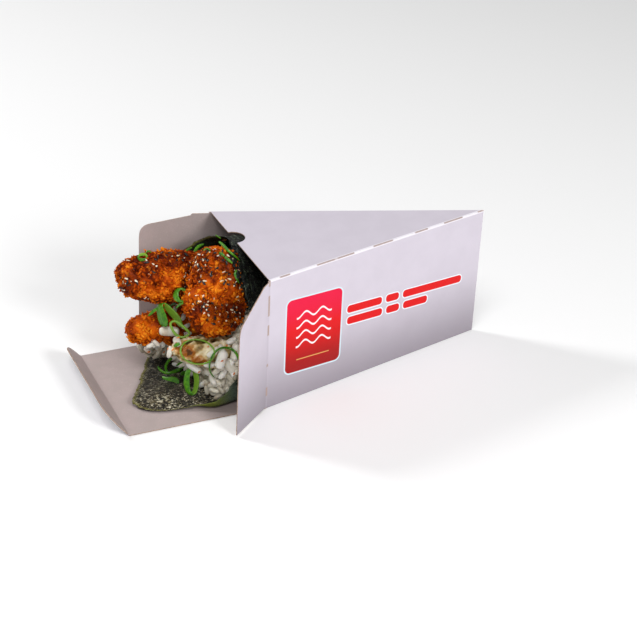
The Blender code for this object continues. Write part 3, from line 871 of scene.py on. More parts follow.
def seen_place(x, y, trees):
    """Where the photograph's pixel meets the food, in metres, and which way the surface faces there."""
    way = picture_way(x, y)
    hits = [tree.ray_cast(CAMERA_PLACE, way) for tree in trees]
    place, normal, _, _ = min((hit for hit in hits if hit[0] is not None), key=lambda hit: hit[3])
    return place, normal


def depth_behind(points, trees):
    """How far ahead of the camera the food lies behind points of the picture, in millimetres."""
    ahead = camera_ways()[2]
    depths = []
    for x, y in points:
        hits = [tree.ray_cast(CAMERA_PLACE, picture_way(x, y)) for tree in trees]
        reach = [(hit[0] - CAMERA_PLACE).dot(ahead) / MM for hit in hits if hit[0] is not None]
        depths.append(min(reach, default=math.nan))
    depths = np.array(depths)
    known = np.flatnonzero(~np.isnan(depths))
    return np.interp(np.arange(len(depths)), known, depths[known])


def in_picture(line, depths):
    """Places in millimetres that show at points of the picture, that far ahead of the camera."""
    right, top, ahead = (np.array(way) for way in camera_ways())
    across, down = ((np.asarray(line) - PICTURE / 2) / FOCAL).T[:, :, None]
    return np.array(CAMERA_PLACE) / MM + (ahead + right * across - top * down) * depths[:, None]


def held_together(depths, points, slope=0.7):
    """Depths of points of the picture, none of them far behind the others: a cut of onion spans a gap."""
    points = np.asarray(points, float)
    apart = np.linalg.norm(points[:, None] - points[None], axis=2) * depths.min() / FOCAL
    return (depths[None] + slope * apart).min(axis=1)


def evened(values, closed, rounds=8):
    """Values along a line made smooth, none of them further off than it was."""
    for _ in range(rounds):
        beside = (np.roll(values, 1) + np.roll(values, -1)) / 2
        if not closed:
            beside[0], beside[-1] = values[0], values[-1]
        values = np.minimum(values, beside * 0.5 + values * 0.5)
    return values


# Food surfaces

def lump(name, sections, detail, relief):
    """A rounded body along a smooth centre line, raised by relief(points), closed at both ends."""
    centres = [centre for centre, _ in sections]
    halves = [half for _, half in sections]
    rows, columns = detail
    polar = np.linspace(0, np.pi, rows)[:, None] * np.ones(columns)
    turn = np.linspace(0, 2 * np.pi, columns, endpoint=False) * np.ones((rows, 1))
    share = (np.cos(polar) + 1) / 2
    ring = np.maximum(np.sin(polar), 1e-4)
    centre = along(centres, share)
    half = along(halves, share)
    way = unit(along(centres, np.minimum(1, share + 0.02)) - along(centres, np.maximum(0, share - 0.02)))
    side = unit(np.cross(way, UP))
    rise = np.cross(side, way)
    out = side * (ring**0.62 * np.cos(turn) * half[..., 0])[..., None]
    out += rise * (ring**0.62 * np.sin(turn) * half[..., 1])[..., None]
    out_way = unit(unit(out) * ring[..., None] + way * np.cos(polar)[..., None])
    base = centre + out
    height = relief(base)
    points = base + out_way * height[..., None]
    points[0] = points[0].mean(axis=0)
    points[-1] = points[-1].mean(axis=0)
    obj = mesh_from(name, points.reshape(-1, 3), grid_faces(rows, columns, True))
    write_attribute(obj, "height", height)
    return outwards(obj)


def crags(points):
    """The broad uneven height that the solid has too."""
    broad = noise_at(points, BROAD_LUMPS)
    fine = noise_at(points, FINE_LUMPS, shift=np.array((7, 3, 5)))
    return CRAGS * (0.6 * broad + 0.55 * fine)


def crumb_relief(points):
    """Crags with crumbs in three sizes over them."""
    chips = 0.55 - cells_at(points, 2.6)
    small = 0.5 - cells_at(points, 1.3, shift=11)
    fine = noise_at(points, 0.7, shift=3)
    return crags(points) + 0.9 * chips + 0.55 * small + 0.22 * fine


def crust_finish(name, deep, middle, bright, glaze, sauce_spots, painted_light_spots):
    """Fried crumb of uneven colour, with painted light on the crests and where light falls, painted shade
    between the crests, and dark glossy sauce in places.
    """
    paint = Paint(name, 0.42, Specular_IOR_Level=0.07, Subsurface_Weight=0.1,
                  Subsurface_Radius=(1.0, 0.35, 0.12), Subsurface_Scale=0.0016)
    broad = paint.spread(paint.noise(8, 3), 0.36, 0.64)
    fine = paint.noise(1.4, 3)
    tone = paint.attribute("tone")
    height = paint.spread(paint.attribute("height"), -2.2, 2.6)
    blend = paint.plus(paint.times(broad, 0.26), paint.times(fine, 0.36))
    # Painted light and shade by height: crests lighter, hollows darker.
    blend = paint.plus(blend, paint.times(height, 0.36))
    blend = paint.plus(blend, paint.times(paint.minus(tone, 0.4), 0.36))
    lit = paint.warped(4, 6)
    # Painted light: the crust brightens where light falls on it most.
    for centre, radius in painted_light_spots:
        blend = paint.plus(blend, paint.times(paint.near(centre, radius, lit), 0.15))
    shade = paint.ramp(blend, ((0.24, deep), (0.52, middle), (0.88, bright)))
    sauce = paint.spots(sauce_spots, paint.warped(5, 9))
    streaks = paint.spread(paint.noise(3.2, 4, distortion=0.8), 0.38, 0.58)
    sauce = paint.times(sauce, paint.plus(paint.times(streaks, 0.55), 0.45))
    shade = paint.mix(paint.times(sauce, glaze), shade, "4a1002")
    rough = paint.spread(sauce, 0, 1, 0.5, 0.22)
    relief = paint.bump(paint.noise(0.35, 3, 0.7), 0.16)
    return paint.finish(Base_Color=shade, Roughness=rough, Normal=relief)


def cone_point(turn, way):
    """Points of the cone, by their share round the rim and their share of the way out from the tip."""
    rim = along(np.array(RIM)[:, :3], turn, closed=True)
    return CONE_TIP + (rim - CONE_TIP) * np.asarray(way)[..., None]


def nori_points():
    """The sheet from its tip to a rim that is slightly ragged, waved and crinkled."""
    turn = np.linspace(0, 1, NORI_ROUND, endpoint=False) * np.ones((NORI_ALONG, 1))
    way = (np.linspace(0, 1, NORI_ALONG)[:, None] * np.ones(NORI_ROUND)) ** NORI_CROWD
    rim = along(np.array(RIM)[:, :3], turn[-1], closed=True)
    ragged = 0.8 * noise_at(rim, 6) + 1.3 * noise_at(rim, 2.4, shift=5) + 0.9 * noise_at(rim, 1.1, shift=8)
    length = np.linalg.norm(rim - CONE_TIP, axis=1)
    way = way * (1 + smooth_step(0.9, 1, way) * (ragged * 0.7 / length))
    point = cone_point(turn, way)
    middle = (point + cone_point(turn + 0.5, way)) / 2
    outward = unit(point - middle)
    free = smooth_step(4, 18, point[..., 2])
    low = np.clip((point[..., 2] - 4) / 14, 0, 1)
    wave = low * NORI_WAVE * noise_at(point, SHEET_WAVES)
    edge = smooth_step(0.93, 1, way)
    crinkle = 0.32 * noise_at(point, 3.4, shift=9) * (0.35 + 0.65 * free + 0.4 * edge)
    crinkle += 0.16 * noise_at(point, 1.2, shift=2) * (0.5 + 1.2 * edge)
    point = point + outward * (wave + crinkle)[..., None]
    return with_raised_top(with_bulge(point))


def with_bulge(point):
    """The sheet pushed out low at its near side, where it runs off the lid into the case."""
    under = np.clip(1 - point[..., 2] / 13, 0, 1) * smooth_step(-114, -99, point[..., 0])
    under *= smooth_step(-70, -79, point[..., 0]) * smooth_step(-18, -27, point[..., 1])
    point[..., 1] -= 7 * under
    point[..., 2] = np.maximum(point[..., 2] - 1.5 * under, NORI_REST)
    return point


def with_raised_top(point):
    """The rim lifted into the notch of the case's top, as far as the card leaves room."""
    top = np.exp(-((point[..., 0] + 70) / 6) ** 2 - ((point[..., 1] - 9) / 11) ** 2)
    room = np.maximum(0, CASE_HEIGHT - CARD - 0.6 - point[..., 2])
    point[..., 2] += np.where(point[..., 2] > 55, np.minimum(top * 7, room), 0)
    return point


def nori_finish(inner):
    """Roasted seaweed: green-black, streaked with fibres and blistered, specked with painted glints on both
    sides, with painted highlights on the outer fibres, a painted sheen low on the outer side and painted shade
    under the food.
    """
    paint = Paint("nori_inside" if inner else "nori_outside", 0.4, Specular_IOR_Level=0.4)
    fibres = paint.stretched((0.6, 1, 1), 24, paint.warped(3, 3))
    streak = paint.noise(1.1, 5, 0.7, place=fibres, distortion=1.2)
    patch = paint.noise(7, 4)
    flakes = paint.flakes(0.6, fibres)
    if inner:
        blend = paint.plus(paint.times(streak, 0.5), paint.times(patch, 0.3))
        blend = paint.plus(blend, paint.times(flakes, 0.22))
        shade = paint.ramp(blend, ((0.42, "060505"), (0.5, "1f1b14"), (0.57, "5a5038"), (0.65, "98906a")))
        # Painted glints: pale specks where the rough inner side catches light.
        painted_glints = paint.times(paint.spread(flakes, 0.66, 0.84), paint.spread(streak, 0.42, 0.56))
        shade = paint.mix(paint.times(painted_glints, paint.spread(patch, 0.36, 0.58, 0.2, 1)), shade, "dcd6c0")
        height = paint.axis("Z")
        leaf = paint.ramp(streak, ((0.4, "020a04"), (0.55, "08200c"), (0.7, "1c4a1c")))
        shade = paint.mix(paint.spread(height, 8 * MM, 24 * MM), shade, leaf)
        # Painted shade on the sheet under the back crust and the rice clump.
        shade = paint.mix(paint.times(paint.near((-123, 9, 2), 24), 0.6), shade, "0b0908")
        rim = paint.spread(paint.attribute("rim"), 0.985, 0.999)
        shade = paint.mix(paint.times(rim, paint.spread(streak, 0.4, 0.6, 0.2, 0.8)), shade, "8a8436")
    else:
        run = paint.add("ShaderNodeCombineXYZ", X=paint.times(paint.attribute("rim"), 0.19),
                        Y=paint.times(paint.attribute("turn"), 0.06)).outputs[0]
        fold = paint.noise(1.5, 4, 0.62, place=run, distortion=0.7)
        blend = paint.plus(paint.times(fold, 0.75), paint.times(streak, 0.25))
        # Fibre streaks, whose bright crests are painted highlights.
        shade = paint.ramp(blend, ((0.46, "010201"), (0.54, "060b07"), (0.6, "24332a"), (0.7, "a9b99e")))
        # Painted glints on the outer side.
        painted_glints = paint.times(paint.spread(flakes, 0.7, 0.9), paint.spread(streak, 0.5, 0.62))
        shade = paint.mix(paint.times(painted_glints, 0.55), shade, "8d9c78")
        # Painted sheen: olive on the smooth low side of the sheet, where it reflects the card.
        smooth = paint.near((-101, -36, 5), 19)
        painted_sheen = paint.mix(paint.spread(paint.axis("X"), -108 * MM, -88 * MM), "7f8c22", "4e5f55")
        shade = paint.mix(paint.times(smooth, 0.9), shade, painted_sheen)
    rough = paint.spread(paint.noise(0.8, 3), 0.3, 0.7, 0.22, 0.6)
    relief = paint.bump(streak, 0.55, paint.bump(flakes, 0.25))
    return paint.finish(Base_Color=shade, Roughness=rough, Normal=relief)


def make_nori():
    """The sheet, rolled to a cone, with its own finish on each side."""
    points = nori_points()
    faces = grid_faces(NORI_ALONG, NORI_ROUND, True)
    obj = mesh_from("nori_sheet", points.reshape(-1, 3), faces)
    write_attribute(obj, "rim", np.linspace(0, 1, NORI_ALONG)[:, None] ** NORI_CROWD * np.ones(NORI_ROUND))
    write_attribute(obj, "turn", np.linspace(0, 1, NORI_ROUND) * np.ones((NORI_ALONG, 1)))
    outwards_sheet(obj)
    obj.data.materials.append(nori_finish(False))
    obj.data.materials.append(nori_finish(True))
    solid = obj.modifiers.new("Thickness", "SOLIDIFY")
    solid.thickness = NORI * MM
    solid.offset = 0
    solid.material_offset = 1
    made_plain(obj)
    obj.data.shade_smooth()
    put_on(obj, "nori", "nori")
    return obj


def make_nori_fold(trees):
    """The leaf's inner fold, crumpled and torn along its edge, which lies over the front piece's side."""
    share = np.linspace(0, 1, FOLD_ROWS)
    inner, outer = (along(line, share) for line in NORI_FOLD)
    torn = noise_at(np.column_stack([inner, share * 0]), 2.6)
    torn = torn + 0.6 * noise_at(np.column_stack([inner, share]), 1.1)
    inner = inner + torn[:, None] * (2.2, -1.0)
    columns = []
    for part in np.linspace(0, 1, FOLD_COLUMNS):
        line = inner * (1 - part) + outer * part
        crumple = noise_at(np.column_stack([line, share * 0]), 3.2, shift=7)
        depth = evened(depth_behind(line, trees), False) - 0.5 - 1.3 * np.clip(crumple + 0.3, 0, 1)
        columns.append(in_picture(line, depth))
    points = np.stack(columns, axis=1)
    obj = mesh_from("nori_fold", points.reshape(-1, 3), grid_faces(FOLD_ROWS, FOLD_COLUMNS))
    write_attribute(obj, "rim", np.linspace(0.98, 0.9, FOLD_COLUMNS) * np.ones((FOLD_ROWS, 1)))
    write_attribute(obj, "turn", share[:, None] * 0.2 * np.ones(FOLD_COLUMNS))
    obj.data.materials.append(nori_finish(False))
    solid = obj.modifiers.new("Thickness", "SOLIDIFY")
    solid.thickness = NORI * MM
    made_plain(obj)
    put_on(outwards(obj), "nori")
    return obj


def outwards_sheet(obj):
    """The cone's faces turned outwards, its tip merged to one point."""
    shape = bmesh.new()
    shape.from_mesh(obj.data)
    bmesh.ops.remove_doubles(shape, verts=shape.verts, dist=0.01 * MM)
    bmesh.ops.recalc_face_normals(shape, faces=shape.faces)
    middle = Vector(ROLL_MIDDLE) * MM
    side = sum(face.normal.dot(face.calc_center_median() - middle) for face in shape.faces)
    if side < 0:
        bmesh.ops.reverse_faces(shape, faces=shape.faces)
    shape.to_mesh(obj.data)
    shape.free()
    return obj


# Small things

def kind(name, shape_of, faces_deep, seed=0):
    """A source shape for scattering: a low ball whose points are moved by shape_of(point)."""
    shape = bmesh.new()
    columns, rows = faces_deep
    bmesh.ops.create_uvsphere(shape, u_segments=columns, v_segments=rows, radius=1)
    chance = random.Random(seed)
    for vert in shape.verts:
        vert.co = Vector(shape_of(vert.co, chance)) * MM
    mesh = bpy.data.meshes.new(name)
    shape.to_mesh(mesh)
    shape.free()
    mesh.shade_smooth()
    return bpy.data.objects.new(name, mesh)


def grain_shape(point, chance):
    """A cooked grain along X, about 7 mm long, a little bent and plump."""
    blunt = max(1e-3, 1 - point.z * point.z) ** -0.2
    return point.z * 3.5, point.x * 1.6 * blunt + 0.4 * point.z * point.z, point.y * 1.4 * blunt


def seed_shape(point, chance):
    """A sesame seed along X, 2.7 mm long, pointed at one end."""
    narrow = 0.72 + 0.28 * point.z
    return point.z * 1.4, point.x * 0.85 * narrow, point.y * 0.5 * narrow


def crumb_shape(point, chance):
    """A sharp flake of crumb about 1 mm across."""
    push = chance.uniform(0.5, 1.5)
    return point.x * push * 0.95, point.y * push * 0.5, point.z * push * 0.36


def scatter_tree():
    """Geometry Nodes that spread kinds of things over a surface where its cover asks for them."""
    tree = bpy.data.node_groups.new("scatter", "GeometryNodeTree")
    sockets = (("Surface", "NodeSocketGeometry"), ("Kinds", "NodeSocketCollection"),
               ("Spacing", "NodeSocketFloat"), ("Density", "NodeSocketFloat"),
               ("Smallest", "NodeSocketFloat"), ("Largest", "NodeSocketFloat"),
               ("Lift", "NodeSocketFloat"), ("Tilt", "NodeSocketFloat"),
               ("Seed", "NodeSocketInt"), ("Finish", "NodeSocketMaterial"))
    for name, kind_of in sockets:
        tree.interface.new_socket(name=name, in_out="INPUT", socket_type=kind_of)
    tree.interface.new_socket(name="Things", in_out="OUTPUT", socket_type="NodeSocketGeometry")
    start = tree.nodes.new("NodeGroupInput").outputs
    end = tree.nodes.new("NodeGroupOutput").inputs
    add = partial(add_node, tree)

    cover = add("GeometryNodeInputNamedAttribute", {"data_type": "FLOAT"}, Name="cover").outputs[0]
    places = add("GeometryNodeDistributePointsOnFaces", {"distribute_method": "POISSON"},
                 Mesh=start["Surface"], Distance_Min=start["Spacing"], Density_Max=start["Density"],
                 Density_Factor=cover, Seed=start["Seed"])
    spin = add("FunctionNodeRandomValue", {"data_type": "FLOAT_VECTOR"}, i0=(-1, -1, -math.pi),
               i1=(1, 1, math.pi), Seed=start["Seed"]).outputs[0]
    tilt = add("ShaderNodeCombineXYZ", None, X=start["Tilt"], Y=start["Tilt"], Z=1.0).outputs[0]
    turned = add("ShaderNodeVectorMath", {"operation": "MULTIPLY"}, i0=spin, i1=tilt).outputs[0]
    local = add("FunctionNodeEulerToRotation", None, Euler=turned).outputs[0]
    lying = add("FunctionNodeRotateRotation", {"rotation_space": "LOCAL"}, Rotation=places.outputs["Rotation"],
                Rotate_By=local).outputs[0]
    size = add("FunctionNodeRandomValue", {"data_type": "FLOAT"}, i2=start["Smallest"], i3=start["Largest"],
               ID=add("GeometryNodeInputID").outputs[0], Seed=start["Seed"]).outputs[1]
    pick = add("FunctionNodeRandomValue", {"data_type": "INT"}, i4=0, i5=20, Seed=start["Seed"]).outputs[2]
    kinds = add("GeometryNodeCollectionInfo", None, Collection=start["Kinds"], Separate_Children=True,
                Reset_Children=True).outputs[0]
    things = add("GeometryNodeInstanceOnPoints", None, Points=places.outputs["Points"], Instance=kinds,
                 Pick_Instance=True, Instance_Index=pick, Rotation=lying, Scale=size).outputs[0]
    lift = add("ShaderNodeCombineXYZ", None, Z=start["Lift"]).outputs[0]
    raised = add("GeometryNodeTranslateInstances", None, Instances=things, Translation=lift).outputs[0]
    tone = add("FunctionNodeRandomValue", {"data_type": "FLOAT"}, i2=0.0, i3=1.0, Seed=99).outputs[1]
    toned = add("GeometryNodeStoreNamedAttribute", {"data_type": "FLOAT", "domain": "INSTANCE"},
                Geometry=raised, Name="tone", Value=tone).outputs[0]
    real = add("GeometryNodeRealizeInstances", None, Geometry=toned).outputs[0]
    coated = add("GeometryNodeSetMaterial", None, Geometry=real, Material=start["Finish"]).outputs[0]
    tree.links.new(coated, end["Things"])
    return tree


SCATTER = scatter_tree()


def scatter(name, surface, kinds, finish, spacing, density, sizes, lift, tilt, seed):
    """One plain mesh of things spread over a surface. Lengths are in millimetres, density per mm²."""
    group = bpy.data.collections.new(name + "_kinds")
    for source in kinds:
        group.objects.link(source)
    obj = in_scene(name, surface.data.copy())
    modifier = obj.modifiers.new("Scatter", "NODES")
    modifier.node_group = SCATTER
    values = {"Kinds": group, "Spacing": spacing * MM, "Density": density / MM**2, "Smallest": sizes[0],
              "Largest": sizes[1], "Lift": lift * MM, "Tilt": tilt, "Seed": seed, "Finish": finish}
    for item in SCATTER.interface.items_tree:
        if item.in_out == "INPUT" and item.name in values:
            modifier[item.identifier] = values[item.name]
    made_plain(obj)
    for source in kinds:
        group.objects.unlink(source)
    bpy.data.collections.remove(group)
    if not obj.data.materials:
        obj.data.materials.append(finish)
    return obj


def laid(name, rows, source, trees, finish, sink=0.3, seed=0):
    """One mesh of things laid on what carries them: pixel, turn in the picture, length and breadth shares."""
    chance = random.Random(seed)
    right, top, _ = camera_ways()
    parts, tones = [], []
    for x, y, turn, length, breadth in rows:
        place, normal = seen_place(x, y, trees)
        turn = math.radians(turn)
        first = right * math.cos(turn) + top * math.sin(turn)
        first = (first - normal * first.dot(normal)).normalized()
        second = normal.cross(first)
        matrix = Matrix((first * length, second * breadth, normal * breadth)).transposed().to_4x4()
        thick = max(vert.co.z for vert in source.data.vertices) * breadth
        matrix.translation = place + normal * thick * (1 - sink)
        mesh = source.data.copy()
        mesh.transform(matrix)
        part = bpy.data.objects.new(name, mesh)
        parts.append(part)
        tones += [chance.random()] * len(mesh.vertices)
    obj = joined(name, parts)
    obj.data.shade_smooth()
    write_attribute(obj, "tone", tones)
    obj.data.materials.append(finish)
    return obj


def cover_outside(surface, others, depth=0.4):
    """Marks the points of a surface that lie inside none of the other bodies."""
    values = []
    trees = [tree_of(other) for other in others]
    for vert in surface.data.vertices:
        hidden = False
        for tree in trees:
            near, normal, _, _ = tree.find_nearest(vert.co)
            if (vert.co - near).dot(normal) < -depth * MM:
                hidden = True
                break
        values.append(0.0 if hidden else 1.0)
    write_attribute(surface, "cover", values)


# Rice, cream and onion

def core_points(rows, columns):
    """The rice inside the cone: rings from its thin end to its uneven end, closed by a bulging front."""
    turn = np.linspace(0, 1, columns, endpoint=False) * np.ones((rows, 1))
    row = np.linspace(0, 1, rows)[:, None] * np.ones(columns)
    stop = along(RIM, turn, closed=True)
    end = (CONE_TIP[0] - stop[..., 3]) / (CONE_TIP[0] - stop[..., 0])
    way = FILLING_TIP + (end - FILLING_TIP) * np.minimum(1, row / FILLING_SIDES)
    point = cone_point(turn, way)
    middle = (point + cone_point(turn + 0.5, way)) / 2
    point = point + unit(middle - point) * FILLING_INSET
    inwards = np.maximum(0, (row - FILLING_SIDES) / (1 - FILLING_SIDES))[..., None]
    point = point + (FILLING_FRONT - point) * inwards
    point[..., 0] -= FILLING_BULGE * np.sin(np.pi * inwards[..., 0])
    lumps = 0.6 - cells_at(point, 3.6)
    front = smooth_step(0.6, 0.75, row)
    point[..., 0] -= 1.6 * lumps * front
    point[0] = point[0].mean(axis=0)
    point[-1] = point[-1].mean(axis=0)
    return point


def rice_relief(points):
    """Lumps the size of grains over the clump's broad unevenness."""
    broad = noise_at(points, BROAD_LUMPS) + 0.55 * noise_at(points, 3)
    return broad + 1.1 * (0.5 - cells_at(points, 3.4))


def rice_finish(name, shade, dark):
    """Moist cooked rice: off-white, a little see-through, with a soft shine."""
    paint = Paint(name, 0.3, Specular_IOR_Level=0.4, Subsurface_Weight=0.25,
                  Subsurface_Radius=(1.0, 0.85, 0.65), Subsurface_Scale=0.0014)
    tone = paint.attribute("tone")
    colours = paint.mix(paint.times(tone, 0.9), shade, dark)
    stain = paint.spread(paint.noise(6, 4), 0.56, 0.7, 0, 0.35)
    colours = paint.mix(stain, colours, "b0824a")
    return paint.finish(Base_Color=colours, Normal=paint.bump(paint.noise(0.9, 2), 0.08))


def clear_of(surface, sheet, gap):
    """Bares the points of a surface that lie nearer to the sheet than the gap."""
    tree = tree_of(sheet)
    away = np.array([tree.find_nearest(vert.co)[3] for vert in surface.data.vertices]) / MM
    scale_cover(surface, lambda points: away > gap)


def make_rice(bodies, nori):
    """The heap, its core under the grains that show, and the grains."""
    core = mesh_from("rice_core", core_points(90, 200).reshape(-1, 3), grid_faces(90, 200, True))
    core = outwards(core)
    clump = lump("rice_clump", RICE_CLUMP, (60, 60), rice_relief)
    surface = joined("rice_heap", [core, clump])
    cover_outside(surface, bodies, 0.8)
    scale_cover(surface, lambda points: points[:, 0] < RICE_SHOWS)
    clear_of(surface, nori, 2.2)
    finish = rice_finish("rice_white", "efe9d8", "7e7660")
    surface.data.materials.append(rice_finish("rice_in_shade", "c4bdad", "9a9282"))
    grains = [kind(f"grain_{i}", grain_shape, (8, 9), i) for i in range(3)]
    heap = scatter("rice_grains", surface, grains, finish, 2.9, 0.5, (0.8, 1.1), 0.7, 0.5, 4)
    put_on(surface, "rice", "rice")
    put_on(heap, "rice")
    return surface, heap


def cream_relief(points):
    """Folds drawn out one way, as a spoon leaves them."""
    way = unit((0.62, 0.14, 0.7))
    drawn = points - 0.72 * (points @ way)[..., None] * way
    folds = 1 - np.abs(noise_at(drawn, 3.6, shift=4)) * 3
    chunks = 0.5 - cells_at(drawn, 3.4)
    broad = 0.6 * noise_at(points, BROAD_LUMPS)
    return CREAM_WAVES * (broad + 0.7 * chunks + 0.42 * folds + 0.25 * noise_at(points, 1.4)) - 0.7


def make_cream():
    """Cream cheese in soft broken folds, with painted shade in its hollows, and sauce that has run into it."""
    obj = lump("cream_cheese_folds", CREAM, (150, 150), cream_relief)
    paint = Paint("cream", 0.3, Specular_IOR_Level=0.35, Subsurface_Weight=0.2,
                  Subsurface_Radius=(1.0, 0.7, 0.4), Subsurface_Scale=0.002)
    # Painted shade: low places of the folds dark, high places pale.
    height = paint.spread(paint.attribute("height"), -2.6, 1.0)
    shade = paint.ramp(height, ((0.16, "4a3612"), (0.4, "957a44"), (0.6, "d0b883"), (0.85, "f4e8c6")))
    warped = paint.warped(4, 6)
    sauce = paint.spots(CREAM_SAUCE, warped)
    shade = paint.mix(sauce, shade, paint.ramp(sauce, ((0.1, "e6b05c"), (0.5, "cc8228"), (1, "a25c14"))))
    speck = paint.times(paint.near((-111.2, -19.4, 29.6), 2.2, warped), 0.9)
    shade = paint.mix(speck, shade, "4a2c08")
    obj.data.materials.append(paint.finish(Base_Color=shade, Roughness=paint.spread(sauce, 0, 1, 0.34, 0.16),
                                           Normal=paint.bump(paint.noise(1.1, 3), 0.15)))
    put_on(obj, "cream", "cream_cheese")
    return obj


# Middles of the cuts of onion that stand clear of what is behind them
ONION_PLACES = {
    "onion_loop": (-113, 2.5, 40),
    "onion_ring_left": (-111.5, -3, 34),
    "onion_ring_thick": (-111.2, -19.4, 11.4),
    "onion_curl": (-110.4, 2.6, 52.6),
    "onion_ring_top": (-123.5, 14.5, 74),
    "spike": (-79, 12, 79),
}

# Rims of cuts of onion, in pixels of the picture across and down
LOOP_NEAR = ((169.3, 326.5), (167, 319), (164.5, 311), (162.8, 305.5), (165, 303.2), (169, 305.5), (175, 311),
             (180.5, 318), (184.3, 328))
LOOP_FAR = ((162.2, 327.5), (159, 322), (156.7, 313), (157, 306.3), (159.8, 303.8), (163, 306.5), (168, 313),
            (173, 319), (178, 327))
LEFT_OUTER = (
    (169.3, 325), (170.5, 321.5), (174, 320), (178.5, 321.3), (183, 324.5), (187.5, 328.5),
    (190.3, 332.5), (188.5, 336.3), (183, 338.6), (177.5, 337.5), (173, 333.5),
)
LEFT_INNER = (
    (171.8, 325.2), (172.5, 323), (174.5, 322.3), (178, 323.7), (181.5, 326.5), (185.5, 330.3),
    (188, 333), (186.5, 334.8), (182.5, 336), (179, 335), (175, 331.2),
)
THIN_ARC = ((215, 378), (210.3, 371.9), (209.6, 364.4), (212.2, 355.9), (217.8, 349.8), (224.4, 347.5),
            (231.9, 349.4), (236.6, 354), (238.9, 360.6))

# A cut of spring onion is the two rims of its wall, as lines in the picture in pixels across and
# down. Then comes how much nearer to the eye than its middle each rim stands, or None where the
# piece lies on what the picture shows behind it, its wall, and whether it is a whole ring.
ONION = {
    "onion_loop": ((LOOP_NEAR, LOOP_FAR), (1.5, -2), 0.8, False),
    "onion_ring_left": ((LEFT_OUTER, LEFT_INNER), (2.5, 2.5), 1.7, True),
    "onion_ring_thin": ((oval(197.5, 351.8, 18, 13, 9), oval(197.5, 351.8, 16.2, 11.4, 9)), None, 1.1, True),
    "onion_arc_thin": (sides(THIN_ARC, (1, 1.6, 1.7, 1.9, 2, 2.1, 2.4, 2.6, 1.5)), None, 1.1, False),
    "onion_ring_thick": ((oval(194.2, 381.2, 4.9, 13), oval(189, 381.2, 5.1, 12.6)), (1.2, -1.5), 0.9, True),
    "onion_arc_low": (sides(((157.8, 366), (160, 369.5), (164, 372.3), (170, 373), (177, 370.8), (183.3, 367)),
                            (1.5, 2.4, 2.6, 3.2, 4, 1.2)), None, 1.2, False),
    "onion_chunk": (sides(((162.2, 376.5), (166, 379), (171, 380.5), (175.5, 381.5), (179, 383)),
                          (1.5, 4.5, 8, 8, 4)), None, 0.9, False),
    "onion_curl": ((oval(183.2, 294.8, 4.7, 6), oval(178.7, 295.3, 5.7, 6.4)), (4.5, 3), 0.8, True),
    "onion_ring_top": ((oval(142.8, 255.6, 4.6, 2.8), oval(142.3, 258.8, 4.5, 2.8)), None, 0.7, True),
    "onion_back": (sides(((194.5, 252.5), (197, 248), (200, 245.5), (204, 244)), (3, 3.2, 2.8, 1)),
                   None, 0.8, False),
    "onion_strip": (sides(((218.8, 241.5), (223, 245), (228.6, 251), (234, 255.5), (240.2, 261)),
                          (1.8, 3, 2.6, 2, 1)), None, 0.9, False),
    "onion_stub": (sides(((219.6, 252.4), (222, 254.2), (224.4, 256.2)), (3.2, 3.6, 2.6)), None, 1.2, False),
    "onion_sliver": (sides(((236.5, 270), (235, 274), (236.5, 278.5), (239, 283)), (1.5, 2.4, 2.2, 1)),
                     None, 0.9, False),
}

# A shred is its line in the picture, its breadths there, and the piece that it stands by, or None
ONION_SHREDS = (
    (((172, 358), (168.5, 361), (166, 365.5), (166, 369.5), (168, 372.5)), (3, 3, 2.6, 2.4, 1.5), None),
    (((176.2, 365.6), (179.2, 364), (182.3, 362.5)), (1.5, 2.2, 1.6), None),
    (((180.5, 375), (183.5, 373), (187, 371)), (3, 4, 3), None),
    (((170, 304.5), (174.5, 303.2), (180, 301)), (2.5, 4, 3), None),
    (((176, 308), (180, 304.5), (183.5, 303)), (1.5, 2.5, 2), None),
    (((203.5, 251), (207, 249.3), (210.5, 251)), (2, 3.4, 2), None),
    (((185, 252), (188, 249.5), (192, 247.5)), (1, 2, 1), None),
    (((224.5, 256.5), (228, 259.7), (232.5, 263.3)), (2.6, 3, 1.5), None),
    (((174, 346.5), (177, 344.5), (180, 343.5)), (2.5, 4, 2.5), None),
    (((148.3, 316), (153, 311.5), (157.5, 308)), (1.5, 3, 2.5), "onion_loop"),
    (((145.8, 253), (148.5, 251), (151.5, 252.5)), (1.5, 2, 1), "onion_ring_top"),
    (((215.3, 234.7), (218, 236.6), (221, 238.6)), (0.8, 1.2, 1), "spike"),
)


def onion_finish():
    """Fresh green rings: dark and glossy outside, paler inside and on the cut."""
    paint = Paint("onion_green", 0.28, Specular_IOR_Level=0.5, Subsurface_Weight=0.2,
                  Subsurface_Radius=(0.3, 1.0, 0.15), Subsurface_Scale=0.001)
    inner = paint.attribute("inner")
    veins = paint.noise(0.7, 4, place=paint.stretched((1, 1, 0.3)))
    green = paint.mix(paint.spread(veins, 0.35, 0.65), "2f6f04", "5fa012")
    patch = paint.spread(paint.noise(6, 3), 0.35, 0.65)
    green = paint.mix(paint.times(patch, 0.45), green, "1d5a0a")
    green = paint.mix(paint.times(inner, 0.6), green, "93bd3e")
    return paint.finish(Base_Color=green, Normal=paint.bump(veins, 0.08))


def rim_edges(rims, lifts, wall, closed, trees, place):
    """The wall's two rims in millimetres, standing by a place or lying on what is behind them."""
    share = np.linspace(0, 1, ONION_STEPS, endpoint=not closed)
    near, far = (along(rim, share, closed) for rim in rims)
    if lifts is None:
        between = (near + far) / 2
        depth = evened(held_together(depth_behind(between, trees), between), closed) - wall * 0.45
        return in_picture(near, depth), in_picture(far, depth)
    middle = (np.asarray(place, float) - np.array(CAMERA_PLACE) / MM) @ np.array(camera_ways()[2])
    depths = [np.full(ONION_STEPS, middle - lift) for lift in lifts]
    return in_picture(near, depths[0]), in_picture(far, depths[1])


